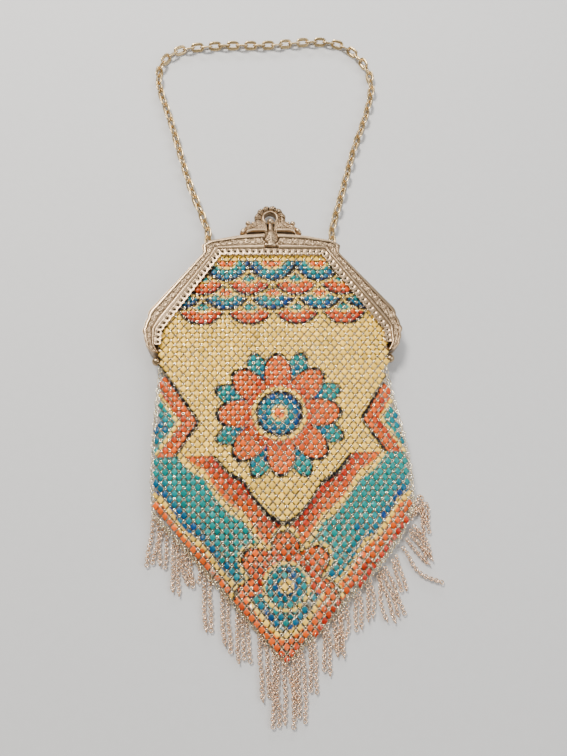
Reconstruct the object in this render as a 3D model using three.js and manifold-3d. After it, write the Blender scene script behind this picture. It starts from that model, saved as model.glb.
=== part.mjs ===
// Enamelled metal mesh purse, lying closed on its back.
// Millimetres. X runs across the frame, Y runs up from the fringe to the chain, Z rises off the surface.
// The origin is on the flat tablet at the back of the frame's bar, which touches the surface at z = 0.

import * as THREE from 'three';
import { mergeVertices } from 'three/addons/utils/BufferGeometryUtils.js';
import Module from 'manifold-3d';

const wasm = await Module();
wasm.setup();

// Frame
const frameWidth = 112;
const frameHeight = 57.2;
const barRise = 5.2;
const frameThickness = 10;
const partingGap = 0.3;
const rimWidth = 0.8;
const rimSlope = 0.8;
const bandDepth = 0.8;
const outerRimDrop = 1.0;
const innerRimDrop = 0.5;
const innerRimSink = 0.1;
const flangeWidth = 3.0;
const flangeThickness = 0.8;
const flangeDepth = 0.6;
const flangeRoot = 0.5;

// Holes that the mesh hangs on
const holeRadius = 0.55;
const holeSides = 4;
const holeInset = 1.6;
const holePitchTop = 2.95;
const holePitchSide = 2.4;

// Cast leaves in the sunken band
const leafPitch = 16.5;
const leafLength = 7.0;
const leafShare = 0.5;
const leafHeight = 0.7;
const leafTaper = 0.85;

// Sides of round pieces: small pins and their bores, and the crest's holes
const pinSides = 8;
const boreSides = 10;

// Flat tablet on the back of the bar
const tabletWidth = 9;
const tabletHeight = 6.4;
const tabletRise = 0.6;

// Crest on the back half
const crestThickness = 4.0;
const crestGap = 0.8;
const ringRadius = 7.3;
const ringLobe = 0.5;
const ringLobes = 7;
const ringHoleRadius = 3.0;
const ringCentreRise = 9.3;
const ringHoleRise = 0.9;
const armReach = 13.4;
const footWidth = 2.4;
const footDepth = 1.6;
const footRoot = 1.6;

// Clasp tongue and its pin
const tongueThickness = 1.1;
const tongueClearance = 0.3;
const tongueLeafWidth = 6.8;
const tongueNeckWidth = 2.0;
const tongueAxisDrop = 1.2;
const tongueAxisDepth = 0.2;
const tongueFaceDepth = 0.5;
const recessDepth = 1.7;
const ballRadius = 1.6;
const barrelRadius = 1.15;
const barrelWidth = 3.6;
const claspPinRadius = 0.4;
const pinClearance = 0.2;
const lugThickness = 0.9;
const lugWidth = 2.1;

// Hinges at the lower ends
const hingeBallRadius = 1.8;
const hingeInset = 6.2;
const hingeDrop = 2.6;
const knuckleThickness = 1.0;
const knuckleRadius = 1.6;
const knuckleRise = 3.4;
const knuckleArm = 2.2;
const hingePinRadius = 0.6;
const hingeHeadRadius = 1.1;
const hingeHeadThickness = 0.5;
const hingeClearance = 0.3;

// Eyes that hold the chain
const eyeRadius = 1.7;
const eyeWireRadius = 0.55;
const eyeInset = 27.0;
const eyeRise = 1.6;

// Mesh pouch
const meshWall = 1.0;
const meshSideWall = 1.7;
const meshClearance = 0.3;
const meshEdgeClearance = 0.8;
const meshTopDrop = 1.6;
const notchClearance = 2.0;
const bodyDrop = 115.2;
const bodyInset = 3.0;

// Fringe
const fringeLength = 30;
const fringeThickness = 1.7;
const headingWidth = 1.7;
const headingClearance = 0.35;
const lockWidth = 4.2;
const lockTop = 0.7;
const lockThinning = 0.3;
const tangleThickness = 2.2;

// Chain handle
const linkWidth = 4.6;
const linkLength = 7.6;
const linkWireRadius = 0.525;
const linkBite = 0.2;
const linkSides = 10;
const wireSides = 5;
const chainHeight = 2.35;
const routeDivisions = 2000;

const mergeDistance = 1e-4;

const finishes = {
  frame: { color: 0x9d958a, roughness: 0.42, metalness: 0.9 },
  clasp: { color: 0xb5afa6, roughness: 0.28, metalness: 0.95 },
  mesh: { color: 0xdcc48c, roughness: 0.45, metalness: 0.35 },
  fringe: { color: 0xb79c8c, roughness: 0.4, metalness: 0.85 },
  chain: { color: 0xa8a08c, roughness: 0.36, metalness: 0.9 },
};

// Outline of one side of the frame, from the middle of the bar down to the arm's tail.
// outX, inX: shares of the half width. outY, inY: shares of the frame's height, down from the bar's top.
// The out columns follow the outer edge, and the in columns follow the line where band and flange meet.
// flange: whether the flange's own line has a corner there.
const frameStations = [
  { outX: 0.000, outY: 0.000, inX: 0.000, inY: 0.140, flange: false },
  { outX: 0.279, outY: 0.021, inX: 0.232, inY: 0.140, flange: false },
  { outX: 0.507, outY: 0.068, inX: 0.402, inY: 0.140, flange: false },
  { outX: 0.564, outY: 0.108, inX: 0.432, inY: 0.140, flange: true },
  { outX: 0.546, outY: 0.171, inX: 0.468, inY: 0.190, flange: false },
  { outX: 0.957, outY: 0.661, inX: 0.857, inY: 0.735, flange: false },
  { outX: 0.968, outY: 0.731, inX: 0.893, inY: 0.785, flange: false },
  { outX: 1.000, outY: 0.818, inX: 0.909, inY: 0.812, flange: true },
  { outX: 0.968, outY: 0.955, inX: 0.914, inY: 0.937, flange: true },
  { outX: 0.927, outY: 0.998, inX: 0.882, inY: 1.000, flange: false },
];

// Right half of the crest's arms. out: share of the arm's reach. up: share of the ring's centre height.
const armOutline = [
  { out: 0.00, up: 0.200 },
  { out: 0.74, up: 0.200 },
  { out: 0.82, up: -0.01 },
  { out: 1.00, up: -0.01 },
  { out: 0.93, up: 0.25 },
  { out: 0.86, up: 0.50 },
  { out: 0.87, up: 0.72 },
  { out: 0.78, up: 0.82 },
  { out: 0.69, up: 0.72 },
  { out: 0.60, up: 0.70 },
  { out: 0.50, up: 0.90 },
  { out: 0.00, up: 0.90 },
];

// Clasp tongue from its barrel to its ball. along: share of the tongue's reach.
// wide: share of the leaf's width. level: 1 on the bar's face, 0 down in the crest's ring.
const tongueStations = [
  { along: 0.06, wide: 0.44, level: 1.00 },
  { along: 0.12, wide: 0.54, level: 1.00 },
  { along: 0.22, wide: 1.00, level: 1.00 },
  { along: 0.36, wide: 0.60, level: 1.00 },
  { along: 0.51, wide: 0.42, level: 0.96 },
  { along: 0.67, wide: 0.32, level: 0.10 },
  { along: 0.95, wide: 0.29, level: 0.00 },
];

// Rows of the mesh pouch inside the frame. left and right are shares of the half width,
// and down is a share of the frame's height, all along the line where band and flange meet.
const mouthRows = [
  { down: 0.815, across: 0.909 },
  { down: 0.920, across: 0.913 },
];

// Rows of the mesh pouch below the hinges. down: share of the body's drop.
// left, right: shares of the body's half width. back, front: shares of the frame's thickness.
// hem: whether the row is on the slanted edges that carry the fringe.
const bodyRows = [
  { down: 0.009, left: 0.925, right: 0.910, back: 0.07, front: 0.80, hem: false },
  { down: 0.114, left: 0.947, right: 0.949, back: 0.00, front: 0.81, hem: false },
  { down: 0.261, left: 0.966, right: 1.010, back: 0.00, front: 0.80, hem: false },
  { down: 0.402, left: 0.970, right: 1.046, back: 0.00, front: 0.74, hem: false },
  { down: 0.522, left: 0.955, right: 1.040, back: 0.00, front: 0.65, hem: true },
  { down: 0.628, left: 0.740, right: 0.910, back: 0.00, front: 0.58, hem: true },
  { down: 0.718, left: 0.566, right: 0.738, back: 0.00, front: 0.52, hem: true },
  { down: 0.820, left: 0.366, right: 0.494, back: 0.00, front: 0.44, hem: true },
  { down: 0.918, left: 0.170, right: 0.262, back: 0.00, front: 0.34, hem: true },
  { down: 1.000, left: 0.006, right: 0.034, back: 0.03, front: 0.23, hem: true },
];

// Points round one cross-section of the pouch, along the back from left to right and back over the front.
// across: share of the half width. cut: share taken off there where the edge is round.
// up: share of the depth. sink: share of the depth that a round edge takes off, or adds if negative.
const pouchSection = [
  { across: -1.00, cut: 0.03, up: 0.0, sink: 0.00 },
  { across: 1.00, cut: 0.03, up: 0.0, sink: 0.00 },
  { across: 1.00, cut: 0.00, up: 0.2, sink: -0.10 },
  { across: 1.00, cut: 0.09, up: 1.0, sink: 0.22 },
  { across: 0.50, cut: 0.00, up: 1.0, sink: 0.00 },
  { across: -0.45, cut: 0.00, up: 1.0, sink: 0.00 },
  { across: -1.00, cut: 0.09, up: 1.0, sink: 0.22 },
  { across: -1.00, cut: 0.00, up: 0.2, sink: -0.10 },
];

// Locks of the fringe. at: share of the way along the slanted edge from the corner to the point.
// reach, lean, bow: shares of the fringe's length, for the drop, the sideways shift of the end
// and the sideways shift of the middle. root, end: shares of the lock's width.
const fringeLocks = {
  left: [
    { at: 0.02, reach: 0.62, lean: -0.08, bow: -0.03, root: 0.50, end: 0.80 },
    { at: 0.11, reach: 0.52, lean: -0.06, bow: -0.02, root: 0.45, end: 0.90 },
    { at: 0.20, reach: 0.70, lean: -0.01, bow: 0.00, root: 1.00, end: 0.80 },
    { at: 0.31, reach: 0.38, lean: -0.03, bow: 0.00, root: 1.40, end: 1.10 },
    { at: 0.43, reach: 0.68, lean: -0.02, bow: 0.00, root: 1.30, end: 0.60 },
    { at: 0.57, reach: 0.66, lean: 0.00, bow: 0.00, root: 1.30, end: 0.95 },
    { at: 0.70, reach: 0.60, lean: 0.00, bow: 0.00, root: 1.30, end: 1.10 },
    { at: 0.84, reach: 0.76, lean: -0.01, bow: 0.01, root: 0.80, end: 0.60 },
    { at: 0.95, reach: 0.85, lean: -0.02, bow: 0.00, root: 0.90, end: 0.90 },
  ],
  right: [
    { at: 0.93, reach: 0.88, lean: 0.00, bow: 0.02, root: 1.00, end: 1.20 },
    { at: 0.84, reach: 0.78, lean: 0.00, bow: 0.01, root: 0.80, end: 0.80 },
    { at: 0.74, reach: 0.62, lean: 0.01, bow: 0.01, root: 1.10, end: 1.20 },
    { at: 0.63, reach: 0.66, lean: -0.02, bow: 0.00, root: 1.20, end: 0.90 },
    { at: 0.49, reach: 0.55, lean: -0.02, bow: 0.00, root: 1.10, end: 1.00 },
    { at: 0.39, reach: 0.60, lean: 0.00, bow: 0.00, root: 0.90, end: 0.90 },
    { at: 0.25, reach: 0.75, lean: 0.06, bow: -0.02, root: 1.10, end: 1.70 },
    { at: 0.14, reach: 0.80, lean: 0.09, bow: 0.02, root: 0.90, end: 1.30 },
    { at: 0.05, reach: 0.80, lean: 0.24, bow: 0.10, root: 0.90, end: 0.35 },
  ],
};

// Tangled strands that lie up beside the pouch's right corner, seen from the front.
// out: share of the fringe's length to the right of the corner. down: the same, downwards.
const tangleOutline = [
  { out: 0.025, down: 0.03 },
  { out: 0.065, down: -0.16 },
  { out: 0.145, down: -0.17 },
  { out: 0.175, down: 0.10 },
  { out: 0.165, down: 0.32 },
  { out: 0.115, down: 0.50 },
  { out: -0.180, down: 0.48 },
];

// Route of the chain between its two eyes, chosen by hand, as it lies on the surface.
const handleRoute = [
  [-29.0, 9.0], [-31.2, 17.0], [-37.8, 36.0], [-47.1, 70.9], [-54.3, 98.5], [-52.4, 110.0],
  [-45.0, 117.8], [-26.8, 121.7], [2.2, 123.3], [31.2, 126.2], [43.4, 122.8], [53.2, 110.6],
  [55.4, 97.5], [52.0, 82.0], [42.2, 54.2], [34.4, 28.1], [30.4, 15.0], [29.1, 9.0],
];

// Share of the chain, each side of its middle, where the links lie flat and upright, and where they
// have rolled to lean by leanAngle.
const flatShare = 0.1;
const leanShare = 0.22;
const leanAngle = 45;

const halfWidth = frameWidth / 2;
const middle = frameThickness / 2;
const rimLineY = barRise - frameStations[0].inY * frameHeight;
const tailY = barRise - frameHeight;
const hingeX = halfWidth - hingeInset;
const hingeY = tailY - hingeDrop;
const ringY = barRise + ringCentreRise;
const axisY = -tongueAxisDrop;
const axisZ = frameThickness - tongueAxisDepth;
const ballY = ringY + ringHoleRise - ringHoleRadius;
const ballZ = middle + crestThickness / 2 + tongueClearance / 2;

function vector(x, y, z = 0) {
  return new THREE.Vector3(x, y, z);
}

// Solids

function toSolid(geometry) {
  const plain = geometry.clone();
  plain.deleteAttribute('normal');
  plain.deleteAttribute('uv');
  const merged = mergeVertices(plain, mergeDistance);
  return new wasm.Manifold(new wasm.Mesh({
    numProp: 3,
    vertProperties: new Float32Array(merged.attributes.position.array),
    triVerts: new Uint32Array(merged.index.array),
  }));
}

function toGeometry(solid) {
  const mesh = solid.getMesh();
  const geometry = new THREE.BufferGeometry();
  geometry.setAttribute('position', new THREE.BufferAttribute(mesh.vertProperties, mesh.numProp));
  geometry.setIndex(new THREE.BufferAttribute(mesh.triVerts, 1));
  geometry.computeVertexNormals();
  return geometry;
}

function joined(solids) {
  return solids.reduce((whole, solid) => whole.add(solid));
}

// Triangles over a flat closed outline, wound the way the outline runs.
function capFaces(outline) {
  const facing = vector(0, 0);
  outline.forEach((point, i) => facing.add(point.clone().cross(outline[(i + 1) % outline.length])));
  const size = facing.toArray().map(Math.abs);
  const dropped = size.indexOf(Math.max(...size));
  const kept = [0, 1, 2].filter((axis) => axis !== dropped);
  const flat = outline.map((point) => new THREE.Vector2(...kept.map((axis) => point.getComponent(axis))));
  const runsLeft = THREE.ShapeUtils.area(flat) > 0;
  return THREE.ShapeUtils.triangulateShape(flat, []).map((face) => {
    const turnsLeft = THREE.ShapeUtils.area(face.map((index) => flat[index])) > 0;
    return turnsLeft === runsLeft ? face : face.toReversed();
  });
}

// Skin through closed outlines with the same number of points, capped at both ends.
function loft(outlines) {
  const sides = outlines[0].length;
  const points = outlines.flat();
  const faces = [];
  for (let row = 0; row < outlines.length - 1; row += 1) {
    for (let side = 0; side < sides; side += 1) {
      const a = row * sides + side;
      const b = row * sides + ((side + 1) % sides);
      faces.push([a, b, b + sides]);
      faces.push([a, b + sides, a + sides]);
    }
  }
  const last = (outlines.length - 1) * sides;
  faces.push(...capFaces(outlines[0]).map((face) => face.toReversed()));
  faces.push(...capFaces(outlines.at(-1)).map((face) => face.map((index) => index + last)));
  const spans = faces.map(([a, b, c]) => points[a].dot(points[b].clone().cross(points[c])));
  const inside = spans.reduce((sum, span) => sum + span) < 0;
  const outward = inside ? faces.map((face) => face.toReversed()) : faces;
  const geometry = new THREE.BufferGeometry().setFromPoints(points);
  geometry.setIndex(outward.flat());
  return toSolid(geometry);
}

function box([lowX, highX], [lowY, highY], [lowZ, highZ]) {
  const geometry = new THREE.BoxGeometry(highX - lowX, highY - lowY, highZ - lowZ);
  geometry.translate((lowX + highX) / 2, (lowY + highY) / 2, (lowZ + highZ) / 2);
  return toSolid(geometry);
}

// Plate of a flat outline, between two heights.
function plate(points, [low, high], holes = []) {
  const shape = new THREE.Shape(points.map(({ x, y }) => new THREE.Vector2(x, y)));
  shape.holes = holes;
  const geometry = new THREE.ExtrudeGeometry(shape, { depth: high - low, bevelEnabled: false });
  geometry.translate(0, 0, low);
  return toSolid(geometry);
}

// Plate whose outline is drawn with x as Y and y as Z, and whose thickness runs along X.
function sidePlate(shape, [lowX, highX], curveSegments = 4) {
  const settings = { depth: highX - lowX, bevelEnabled: false, curveSegments };
  const geometry = new THREE.ExtrudeGeometry(shape, settings);
  geometry.applyMatrix4(new THREE.Matrix4().makeBasis(vector(0, 1, 0), vector(0, 0, 1), vector(1, 0, 0)));
  geometry.translate(lowX, 0, 0);
  return toSolid(geometry);
}

function ringPoints(radius, count, turn = 0) {
  return Array.from({ length: count }, (_, i) => {
    const angle = turn + (i / count) * 2 * Math.PI;
    return new THREE.Vector2(radius * Math.cos(angle), radius * Math.sin(angle));
  });
}

function ringHole(x, y, radius, sides) {
  return new THREE.Path(ringPoints(radius, sides).map((point) => point.add(new THREE.Vector2(x, y))));
}

// Upright round bar, with flat sides.
function post(x, y, radius, heights, sides) {
  return plate(ringPoints(radius, sides).map((point) => point.add(new THREE.Vector2(x, y))), heights);
}

// Line moved sideways by a distance, to its left as it runs, with its corners kept sharp.
function offsetLine(points, distance) {
  return points.map((point, i) => {
    const before = point.clone().sub(points[Math.max(i - 1, 0)]).normalize();
    const after = points[Math.min(i + 1, points.length - 1)].clone().sub(point).normalize();
    const run = before.clone().add(after).normalize();
    const reference = before.lengthSq() > 0 ? before : after;
    const stretch = 1 / Math.max(run.dot(reference), 0.3);
    return point.clone().add(vector(-run.y, run.x).multiplyScalar(distance * stretch));
  });
}

// Frame

function stationPoint(shareX, shareY, side) {
  return vector(side * shareX * halfWidth, barRise - shareY * frameHeight);
}

function frameSide(side) {
  return frameStations.map((station) => ({
    outer: stationPoint(station.outX, station.outY, side),
    inner: stationPoint(station.inX, station.inY, side),
  }));
}

const frameLine = [...frameSide(-1).slice(1).reverse(), ...frameSide(1)];

// Line where band and flange meet, from the left arm's end round to the right arm's end.
function rimLine() {
  const corners = frameStations.filter(({ flange }) => flange);
  const left = corners.map(({ inX, inY }) => stationPoint(inX, inY, -1));
  const right = corners.map(({ inX, inY }) => stationPoint(inX, inY, 1));
  return [...left.reverse(), ...right];
}

// Cross-section of the moulding from the outer edge to the flange: outer rim, sunken band, inner rim.
function mouldingSection({ outer, inner }, face) {
  const width = outer.distanceTo(inner);
  const squeeze = Math.min(1, width / (3 * (rimWidth + rimSlope)));
  const crest = rimWidth * squeeze;
  const slope = (rimWidth + rimSlope) * squeeze;
  const profile = [
    [0, partingGap / 2],
    [0, middle - outerRimDrop],
    [crest, middle],
    [slope, middle - bandDepth],
    [width - slope, middle - bandDepth],
    [width - crest, middle - innerRimSink],
    [width, middle - innerRimDrop],
    [width, partingGap / 2],
  ];
  return profile.map(([across, height]) => {
    const point = outer.clone().lerp(inner, across / width);
    return point.setZ(middle + face * height);
  });
}

function holePoints() {
  const line = offsetLine(rimLine(), -holeInset);
  const centres = [];
  line.slice(0, -1).forEach((start, i) => {
    const end = line[i + 1];
    const pitch = i === 2 ? holePitchTop : holePitchSide;
    const count = Math.max(1, Math.round(start.distanceTo(end) / pitch));
    const first = i === 0 ? 1 : 0;
    for (let step = first; step < count; step += 1) {
      centres.push(start.clone().lerp(end, step / count));
    }
  });
  return centres;
}

function flange(face, pierced) {
  const outerEdge = offsetLine(rimLine(), flangeRoot);
  const innerEdge = offsetLine(rimLine(), -flangeWidth);
  const top = middle + face * (middle - flangeDepth);
  const under = middle + face * (middle - flangeDepth - flangeThickness);
  const holes = holePoints().map(({ x, y }) => ringHole(x, y, holeRadius, holeSides));
  const outline = [...outerEdge, ...innerEdge.toReversed()];
  return plate(outline, [Math.min(top, under), Math.max(top, under)], pierced ? holes : []);
}

// Pointed leaf, raised from the band's floor, between two points.
function leaf(centre, run, width, face) {
  const across = vector(-run.y, run.x).multiplyScalar(width / 2);
  const along = run.clone().multiplyScalar(leafLength / 2);
  const foot = middle + face * (middle - bandDepth - flangeRoot);
  const tip = middle + face * (middle - bandDepth + leafHeight);
  const corners = [
    centre.clone().add(along),
    centre.clone().add(across),
    centre.clone().sub(along),
    centre.clone().sub(across),
  ];
  const base = corners.map((corner) => corner.clone().setZ(foot));
  const crown = corners.map((corner) => corner.clone().lerp(centre, leafTaper).setZ(tip));
  return loft([base, crown]);
}

function leaves(face) {
  const found = [];
  [-1, 1].forEach((side) => {
    const line = frameSide(side).map(({ outer, inner }) => ({
      centre: outer.clone().lerp(inner, 0.5),
      width: outer.distanceTo(inner),
    }));
    const path = new THREE.CurvePath();
    line.slice(0, -1).forEach(({ centre }, i) => path.add(new THREE.LineCurve3(centre, line[i + 1].centre)));
    const count = Math.floor(path.getLength() / leafPitch);
    for (let i = 1; i < count; i += 1) {
      const share = i / count;
      const centre = path.getPointAt(share);
      const near = line.toSorted((a, b) => a.centre.distanceTo(centre) - b.centre.distanceTo(centre))[0];
      found.push(leaf(centre, path.getTangentAt(share), near.width * leafShare, face));
    }
  });
  return found;
}

// Lower hinge

function knuckle(side, face) {
  const step = knuckleThickness + hingeClearance;
  const outerFace = hingeX - hingeBallRadius - hingeClearance - (face > 0 ? 0 : step);
  const span = [outerFace - knuckleThickness, outerFace];
  const root = middle + face * hingeClearance;
  const rise = middle + face * (hingeClearance + knuckleRise);
  const top = tailY + knuckleArm;
  const shape = new THREE.Shape();
  shape.moveTo(top, root);
  shape.lineTo(top, rise);
  shape.lineTo(tailY, rise);
  const turn = Math.PI / 4;
  if (face > 0) {
    shape.absarc(hingeY, middle, knuckleRadius, 3 * turn, 7 * turn, false);
  } else {
    shape.absarc(hingeY, middle, knuckleRadius, -3 * turn, -7 * turn, true);
  }
  shape.lineTo(tailY, root);
  shape.holes = [ringHole(hingeY, middle, hingePinRadius + hingeClearance, pinSides)];
  const bridge = [outerFace - knuckleThickness, frameStations.at(-1).inX * halfWidth + flangeWidth / 2];
  const mirror = ([low, high]) => (side > 0 ? [low, high] : [-high, -low]);
  return joined([
    sidePlate(shape, mirror(span)),
    box(mirror(bridge), [tailY + flangeRoot, top], [Math.min(root, rise), Math.max(root, rise)]),
  ]);
}

// Rivet along X with its ball head outside and a small head inside.
function hingeRivet(side) {
  const step = knuckleThickness + hingeClearance;
  const headStart = -(hingeBallRadius + hingeClearance + 2 * step);
  const profile = [new THREE.Vector2(0, headStart - hingeHeadThickness)];
  profile.push(new THREE.Vector2(hingeHeadRadius, headStart - hingeHeadThickness));
  profile.push(new THREE.Vector2(hingeHeadRadius, headStart));
  profile.push(new THREE.Vector2(hingePinRadius, headStart));
  const neck = Math.asin(hingePinRadius / hingeBallRadius);
  const bands = pinSides / 2;
  for (let i = 0; i < bands; i += 1) {
    const angle = neck + (i / bands) * (Math.PI - neck);
    profile.push(new THREE.Vector2(hingeBallRadius * Math.sin(angle), -hingeBallRadius * Math.cos(angle)));
  }
  profile.push(new THREE.Vector2(0, hingeBallRadius));
  const geometry = new THREE.LatheGeometry(profile, pinSides);
  geometry.rotateZ(side > 0 ? -Math.PI / 2 : Math.PI / 2);
  geometry.translate(side * hingeX, hingeY, middle);
  return toSolid(geometry);
}

// Crest

function lobedRing(centreY) {
  const points = ringPoints(1, 2 * ringLobes);
  return points.map((point, i) => {
    const radius = ringRadius - (i % 2) * ringLobe;
    return point.multiplyScalar(radius).add(new THREE.Vector2(0, centreY));
  });
}

function crest() {
  const low = middle - crestThickness / 2;
  const high = middle + crestThickness / 2;
  const right = armOutline.map(({ out, up }) => vector(out * armReach, barRise + up * ringCentreRise));
  const left = right.slice(1, -1).reverse().map(({ x, y }) => vector(-x, y));
  const arms = plate([...right, ...left], [low, high]);
  const ring = plate(lobedRing(ringY), [low, high]);
  const footTop = barRise + crestGap + footRoot;
  const footHeights = [low, low + footDepth];
  const tip = armReach - footWidth;
  const feet = [
    box([-footWidth, footWidth], [barRise - footRoot, footTop], footHeights),
    box([tip, armReach], [barRise - 2 * footRoot, barRise + footRoot / 2], footHeights),
    box([-armReach, -tip], [barRise - 2 * footRoot, barRise + footRoot / 2], footHeights),
  ];
  const hole = post(0, ringY + ringHoleRise, ringHoleRadius, [0, frameThickness], boreSides);
  const seatRadius = ballRadius + tongueClearance;
  const seat = post(0, ballY, seatRadius, [ballZ - seatRadius, frameThickness], boreSides);
  const channelWidth = tongueNeckWidth / 2 + tongueClearance;
  const channelFloor = ballZ - tongueThickness / 2 - tongueClearance;
  const channel = box([-channelWidth, channelWidth], [barRise, ballY], [channelFloor, frameThickness]);
  return joined([arms, ring, ...feet]).subtract(hole).subtract(seat).subtract(channel);
}

// Clasp tongue

const boreRadius = (claspPinRadius + pinClearance) / Math.cos(Math.PI / pinSides);

// Round bar along X about the clasp's axis.
function claspBar(radius, span, turn = 0) {
  const centre = new THREE.Vector2(axisY, axisZ);
  const points = ringPoints(radius, pinSides, turn).map((point) => point.add(centre));
  return sidePlate(new THREE.Shape(points), span);
}

// The same with the pin's bore through it. Flats lie above and below.
function claspBarrel(span) {
  const bore = claspBar(boreRadius, [span[0] - 1, span[1] + 1]);
  return claspBar(barrelRadius, span, Math.PI / pinSides).subtract(bore);
}

function tongue() {
  const reach = ballY - axisY;
  const faceZ = frameThickness - tongueFaceDepth;
  const sections = tongueStations.map(({ along, wide, level }) => {
    const y = axisY + along * reach;
    const z = THREE.MathUtils.lerp(ballZ, faceZ, level);
    const half = Math.max(wide * tongueLeafWidth, tongueNeckWidth) / 2;
    const thick = tongueThickness / 2;
    const corners = [[-half, -thick], [half, -thick], [half, thick], [-half, thick]];
    return corners.map(([x, up]) => vector(x, y, z + up));
  });
  const ball = new THREE.SphereGeometry(ballRadius, pinSides, pinSides / 2 + 1);
  ball.translate(0, ballY, ballZ);
  const span = [-barrelWidth / 2, barrelWidth / 2];
  const bore = claspBar(boreRadius, [span[0] - 1, span[1] + 1]);
  return joined([loft(sections), toSolid(ball), claspBarrel(span)]).subtract(bore);
}

function claspLugs() {
  const inner = barrelWidth / 2 + tongueClearance;
  const spans = [[inner, inner + lugThickness], [-inner - lugThickness, -inner]];
  return joined(spans.flatMap((span) => [
    claspBarrel(span),
    box(span, [axisY - lugWidth / 2, axisY + lugWidth / 2], [
      frameThickness - recessDepth - flangeRoot, axisZ - boreRadius,
    ]),
  ]));
}

function claspPin() {
  const reach = barrelWidth / 2 + tongueClearance + lugThickness + flangeRoot / 2;
  return claspBar(claspPinRadius, [-reach, reach]);
}

function claspRecess() {
  const half = tongueLeafWidth / 2 + tongueClearance;
  return box([-half, half], [rimLineY, barRise + 1], [frameThickness - recessDepth, frameThickness + 1]);
}

// Frame halves

function barTopAt(x) {
  const outer = frameSide(1).map((station) => station.outer);
  const next = outer.findIndex((point) => point.x >= x);
  const [from, to] = [outer[next - 1], outer[next]];
  return from.clone().lerp(to, (x - from.x) / (to.x - from.x)).y;
}

const eyeX = halfWidth - eyeInset;
const eyeY = barTopAt(eyeX) + eyeRise;
const eyeZ = middle - partingGap / 2 - eyeRadius - eyeWireRadius - partingGap;

function eye(side) {
  const geometry = wireRing(eyeRadius, eyeWireRadius);
  geometry.rotateZ(-Math.PI / 2);
  geometry.rotateY(Math.PI / 2);
  geometry.translate(side * eyeX, eyeY, eyeZ);
  return toSolid(geometry);
}

function moulding(face) {
  return loft(frameLine.map((station) => mouldingSection(station, face)));
}

function frameFront() {
  const body = joined([moulding(1), flange(1, true), knuckle(1, 1), knuckle(-1, 1), ...leaves(1)]);
  return body.subtract(claspRecess()).add(claspLugs());
}

function frameBack() {
  const half = tabletWidth / 2;
  const tabletSpan = [tabletRise - tabletHeight / 2, tabletRise + tabletHeight / 2];
  const tablet = box([-half, half], tabletSpan, [0, bandDepth + flangeRoot]);
  return joined([
    moulding(-1), flange(-1, false), knuckle(1, -1), knuckle(-1, -1),
    tablet, crest(), eye(1), eye(-1),
  ]);
}

// Mesh pouch

const panelInset = flangeDepth + flangeThickness + meshClearance;
const notchX = hingeX - hingeBallRadius - 2 * (knuckleThickness + hingeClearance) - hingeClearance
  - hingeHeadThickness - meshClearance;
const notchTop = tailY + knuckleArm + meshEdgeClearance;
const bodyTop = hingeY - knuckleRadius - notchClearance;
const bodyHalfWidth = halfWidth - bodyInset;

// Rows of the pouch in millimetres, from its mouth to its point.
function pouchRows() {
  const flat = { back: panelInset, front: frameThickness - panelInset, round: 0, open: true };
  const barEnd = frameStations.find(({ flange }) => flange);
  const top = barEnd.inX * halfWidth - meshTopDrop / 2;
  const rim = mouthRows.map(({ down, across }) => {
    const x = across * halfWidth - meshEdgeClearance;
    return { ...flat, y: barRise - down * frameHeight - meshEdgeClearance / 3, left: -x, right: x };
  });
  const notch = [notchTop, bodyTop].map((y) => ({ ...flat, y, left: -notchX, right: notchX }));
  const body = bodyRows.map(({ down, left, right, back, front }) => ({
    y: bodyTop - down * bodyDrop,
    left: -left * bodyHalfWidth,
    right: right * bodyHalfWidth,
    back: back * frameThickness,
    front: front * frameThickness,
    round: 1,
    open: false,
  }));
  return [{ ...flat, y: rimLineY - meshTopDrop, left: -top, right: top }, ...rim, ...notch, ...body];
}

function pouchOutline({ y, left, right, back, front, round }) {
  const centre = (left + right) / 2;
  const half = (right - left) / 2;
  return pouchSection.map(({ across, cut, up, sink }) => {
    const x = centre + half * (across - Math.sign(across) * cut * round);
    return vector(x, y, THREE.MathUtils.lerp(back, front, up - sink * round));
  });
}

// The hollow: walled at the sides below the hinges, cut through where the two panels part.
function hollowRow(row) {
  const side = row.open ? -meshSideWall : meshSideWall;
  return {
    ...row,
    left: row.left + side,
    right: row.right - side,
    back: row.back + meshWall,
    front: row.front - meshWall,
  };
}

function pouch() {
  const rows = pouchRows();
  const hollow = rows.slice(0, -1).map(hollowRow);
  hollow[0].y += meshSideWall;
  return loft(rows.map(pouchOutline)).subtract(loft(hollow.map(pouchOutline)));
}

// Fringe

// Slanted edge of the pouch from its corner to its point.
function slantedEdge(side) {
  const rows = pouchRows().slice(-bodyRows.filter(({ hem }) => hem).length);
  return rows.map(({ y, left, right }) => vector(side > 0 ? right : left, y));
}

function heading(side) {
  const edge = slantedEdge(side);
  const near = offsetLine(edge, side * headingClearance);
  const far = offsetLine(edge, side * (headingClearance + headingWidth));
  return loft(near.map((point, i) => [
    point.clone().setZ(0),
    far[i].clone().setZ(0),
    far[i].clone().setZ(fringeThickness),
    point.clone().setZ(fringeThickness),
  ]));
}

// Point of the heading's middle line at a share of the way down, or straight above or below an x.
function headingPath(side) {
  const line = offsetLine(slantedEdge(side), side * (headingClearance + headingWidth / 2));
  const path = new THREE.CurvePath();
  line.slice(0, -1).forEach((point, i) => path.add(new THREE.LineCurve3(point, line[i + 1])));
  return path;
}

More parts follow.
